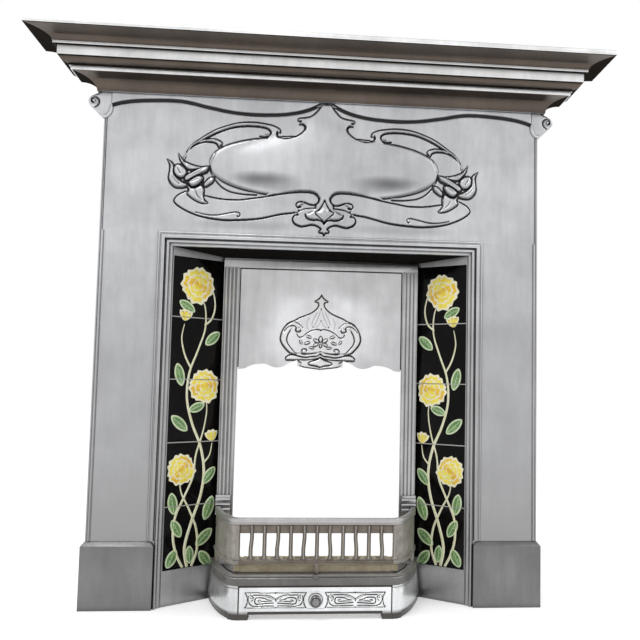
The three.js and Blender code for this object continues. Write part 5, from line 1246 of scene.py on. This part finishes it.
# The lintel's foot stands lower and the bars wave less than in the plain casting.
for vertex in bars.data.vertices:
    place = vertex.co
    number = round(place.x * 1000 / BAR_PITCH)
    if abs(number) < BAR_COUNT // 2 and number % 2 and BAR_FOOT < place.z < BAR_HEAD:
        turn = (place.z - BAR_FOOT) / (BAR_HEAD - BAR_FOOT) * 2 * math.pi
        place.x -= math.copysign(WAVE_OFF, place.x) * math.sin(turn)
    place.z = np.interp(place.z, CAST_HEIGHTS, SHOWN_HEIGHTS)
# Painted light on the bars: a lighter copy of the iron on the curved cheeks, and a painted
# highlight on the top rail.
bars.data.materials.append(LIT_CHEEK)
bars.data.materials.append(TOP_HIGHLIGHT)
for face in bars.data.polygons:
    if abs(face.center.x) > CHEEKS_FROM:
        face.material_index = 1
    if face.center.z > HIGHLIGHT_FROM:
        face.material_index = 2


def ridge(number):
    """The lighter front of one bar, counted from the middle one; the odd ones wave."""
    middle = number * BAR_PITCH
    sway = math.copysign(BAR_WAVE, middle) if number % 2 else 0.0
    line = [(middle + sway * math.sin((z - 136) / 76 * 2 * math.pi), z)
            for z in np.linspace(134.5, 209.5, 20)]
    section = [(-1.5, 0.6), (-1.2, -0.4), (-0.5, -0.9), (0.5, -0.9), (1.2, -0.4), (1.5, 0.6)]
    return swept(section, [lambda u, v, x=x, z=z: (x + u, BAR_FRONT + v, z) for x, z in line])


numbers = range(-(BAR_COUNT // 2), BAR_COUNT // 2 + 1)
piece("fire_bar_ridges", merged(*[ridge(number) for number in numbers]), RIDGE, "fire_bars",
      smooth_angle=50.0)
rail = rounded_copy("base_rail_fine", "base_rail", "casing", RAIL, 0.6)
# Painted highlight on the rail's faces that look up.
rail.data.materials.append(TOP_HIGHLIGHT)
for face in rail.data.polygons:
    if face.normal.z > 0.5:
        face.material_index = 1
rounded_copy("bottom_grate_fine", "bottom_grate", "bottom_grate", BURNT, 1.0)
# Under the cheeks: the grate's raised edges, and the ledges of the ash pit that carry them.
LIP_BOX = (-74, 16, 103.6, 117.6)
piece("bottom_grate_lips", merged(block(171, 188, *LIP_BOX), block(-188, -171, *LIP_BOX)), BURNT,
      "bottom_grate", bevel=1.0)
ledge = column([(172.5, -74), (186, -74), (200, -50), (212, -20), (222, 22), (172.5, 22)],
               96, 102.6)
piece("base_ledges", merged(ledge, mirrored(ledge)), RAIL, "casing")
rounded_copy("inner_frame_fine", "inner_frame", "casing", STILE, 0.4)

# ---- The frame's own meshes, and the faces turned to the wall, which are left as cast ----
# The soffit panel is painted near black as shade.
DRESSED = {"tile_panel_left": SKIRT, "tile_panel_right": SKIRT, "soffit_panel": SOFFIT_SHADE,
           "throat": BACK, "damper_flap": BACK, "damper_pin": BOLT,
           "tile_backplate_left": BACK, "tile_backplate_right": BACK}
for name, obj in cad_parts.items():
    material = BOLT if "bolt" in name else DRESSED.get(name)
    if material:
        obj.data.materials.clear()
        obj.data.materials.append(material)
for name in ("surround_mouldings", "surround_scrolls", "surround_frieze", "surround_cornice",
             "mantel_shelf_fine", "hood_fine", "plinth_left_fine", "plinth_right_fine",
             "inner_frame_fine"):
    mesh = bpy.data.objects[name].data
    mesh.materials.append(BACK)
    for face in mesh.polygons:
        if face.normal.y > 0.7:
            face.material_index = len(mesh.materials) - 1

# ---- Room: pale floor, studio light and the camera at the photograph's place ----
def seen_share(tree):
    """1 for rays that see the backdrop: camera, glossy and transmission rays."""
    rays = node(tree, "ShaderNodeLightPath")
    share = rays.outputs["Is Camera Ray"]
    for name in ("Is Glossy Ray", "Is Transmission Ray"):
        share = node(tree, "ShaderNodeMath", {0: share, 1: rays.outputs[name]},
                     operation="MAXIMUM").outputs["Value"]
    return share


FLOOR_REACH = 12  # metres
floor_material, tree, shader = new_material("floor")
feed(tree, shader, {"Base Color": (0.88, 0.88, 0.88, 1), "Roughness": 0.95,
                    "Specular IOR Level": 0.0, "Emission Color": (1, 1, 1, 1),
                    "Emission Strength": spread(tree, seen_share(tree), 0.0, 0.30, 0.0, 1.0)})
floor_mesh = bpy.data.meshes.new("floor")
floor_mesh.from_pydata([(x * FLOOR_REACH, y * FLOOR_REACH, 0)
                        for x, y in ((-1, -1), (1, -1), (1, 1), (-1, 1))], [], [(0, 1, 2, 3)])
floor_mesh.materials.append(floor_material)
floor = bpy.data.objects.new("floor", floor_mesh)
bpy.context.scene.collection.objects.link(floor)

# A soft sky lights the iron; rays that see the backdrop find it white, and darker underneath.
world = bpy.data.worlds.new("studio")
bpy.context.scene.world = world
world.use_nodes = True
tree = world.node_tree
generated = node(tree, "ShaderNodeTexCoord").outputs["Generated"]
height = node(tree, "ShaderNodeSeparateXYZ", {"Vector": generated}).outputs["Z"]
sky = tree.nodes["Background"]
feed(tree, sky, {"Color": mixed(tree, spread(tree, height, 0.0, 1.0, -0.25, 0.6),
                                (0.34, 0.335, 0.33, 1), (0.90, 0.91, 0.93, 1))})
above = mixed(tree, spread(tree, height, 0.0, 1.0, 0.55, 0.95), (1.0, 1.0, 1.0, 1),
              (0.62, 0.63, 0.65, 1))
backdrop = node(tree, "ShaderNodeBackground", {"Color": mixed(
    tree, spread(tree, height, 1.0, 0.0, -0.6, -0.08), above, (0.30, 0.29, 0.28, 1))})
seen = node(tree, "ShaderNodeMixShader", {"Fac": seen_share(tree), 1: sky.outputs["Background"],
                                          2: backdrop.outputs["Background"]})
feed(tree, tree.nodes["World Output"], {"Surface": seen.outputs["Shader"]})


def softbox(name, place, aim, size, watts):
    light = bpy.data.lights.new(name, "AREA")
    light.shape, light.size, light.size_y, light.energy = "RECTANGLE", size[0], size[1], watts
    made = bpy.data.objects.new(name, light)
    made.location = place
    made.rotation_euler = (Vector(aim) - Vector(place)).to_track_quat("-Z", "Y").to_euler()
    bpy.context.scene.collection.objects.link(made)


softbox("key", (-1.2, -1.5, 3.3), (0, 0, 0.5), (1.6, 1.2), 34)
softbox("fill", (2.2, -1.2, 2.6), (0, 0, 0.5), (1.6, 1.2), 13)

YAW, PITCH, ROLL = math.radians(5.43), math.radians(4.41), math.radians(1.04)
ahead = Vector((math.sin(YAW) * math.cos(PITCH), math.cos(YAW) * math.cos(PITCH),
                math.sin(PITCH)))
right = Vector((math.cos(YAW), -math.sin(YAW), 0))
up = right.cross(ahead)
turned_right = right * math.cos(ROLL) + up * math.sin(ROLL)
turned_up = up * math.cos(ROLL) - right * math.sin(ROLL)
camera = bpy.data.objects.new("camera", bpy.data.cameras.new("camera"))
axes = Matrix((turned_right, turned_up, -ahead)).transposed().to_4x4()
camera.matrix_world = Matrix.Translation((-0.03375, -1.9516 + Y_SHIFT / 1000, 0.53947)) @ axes
camera.data.sensor_width = 36.0
camera.data.lens = 45.0
camera.data.shift_x = -0.0995
camera.data.clip_start = 0.05
bpy.context.scene.collection.objects.link(camera)
bpy.context.scene.camera = camera
bpy.context.scene.view_settings.view_transform = "Standard"
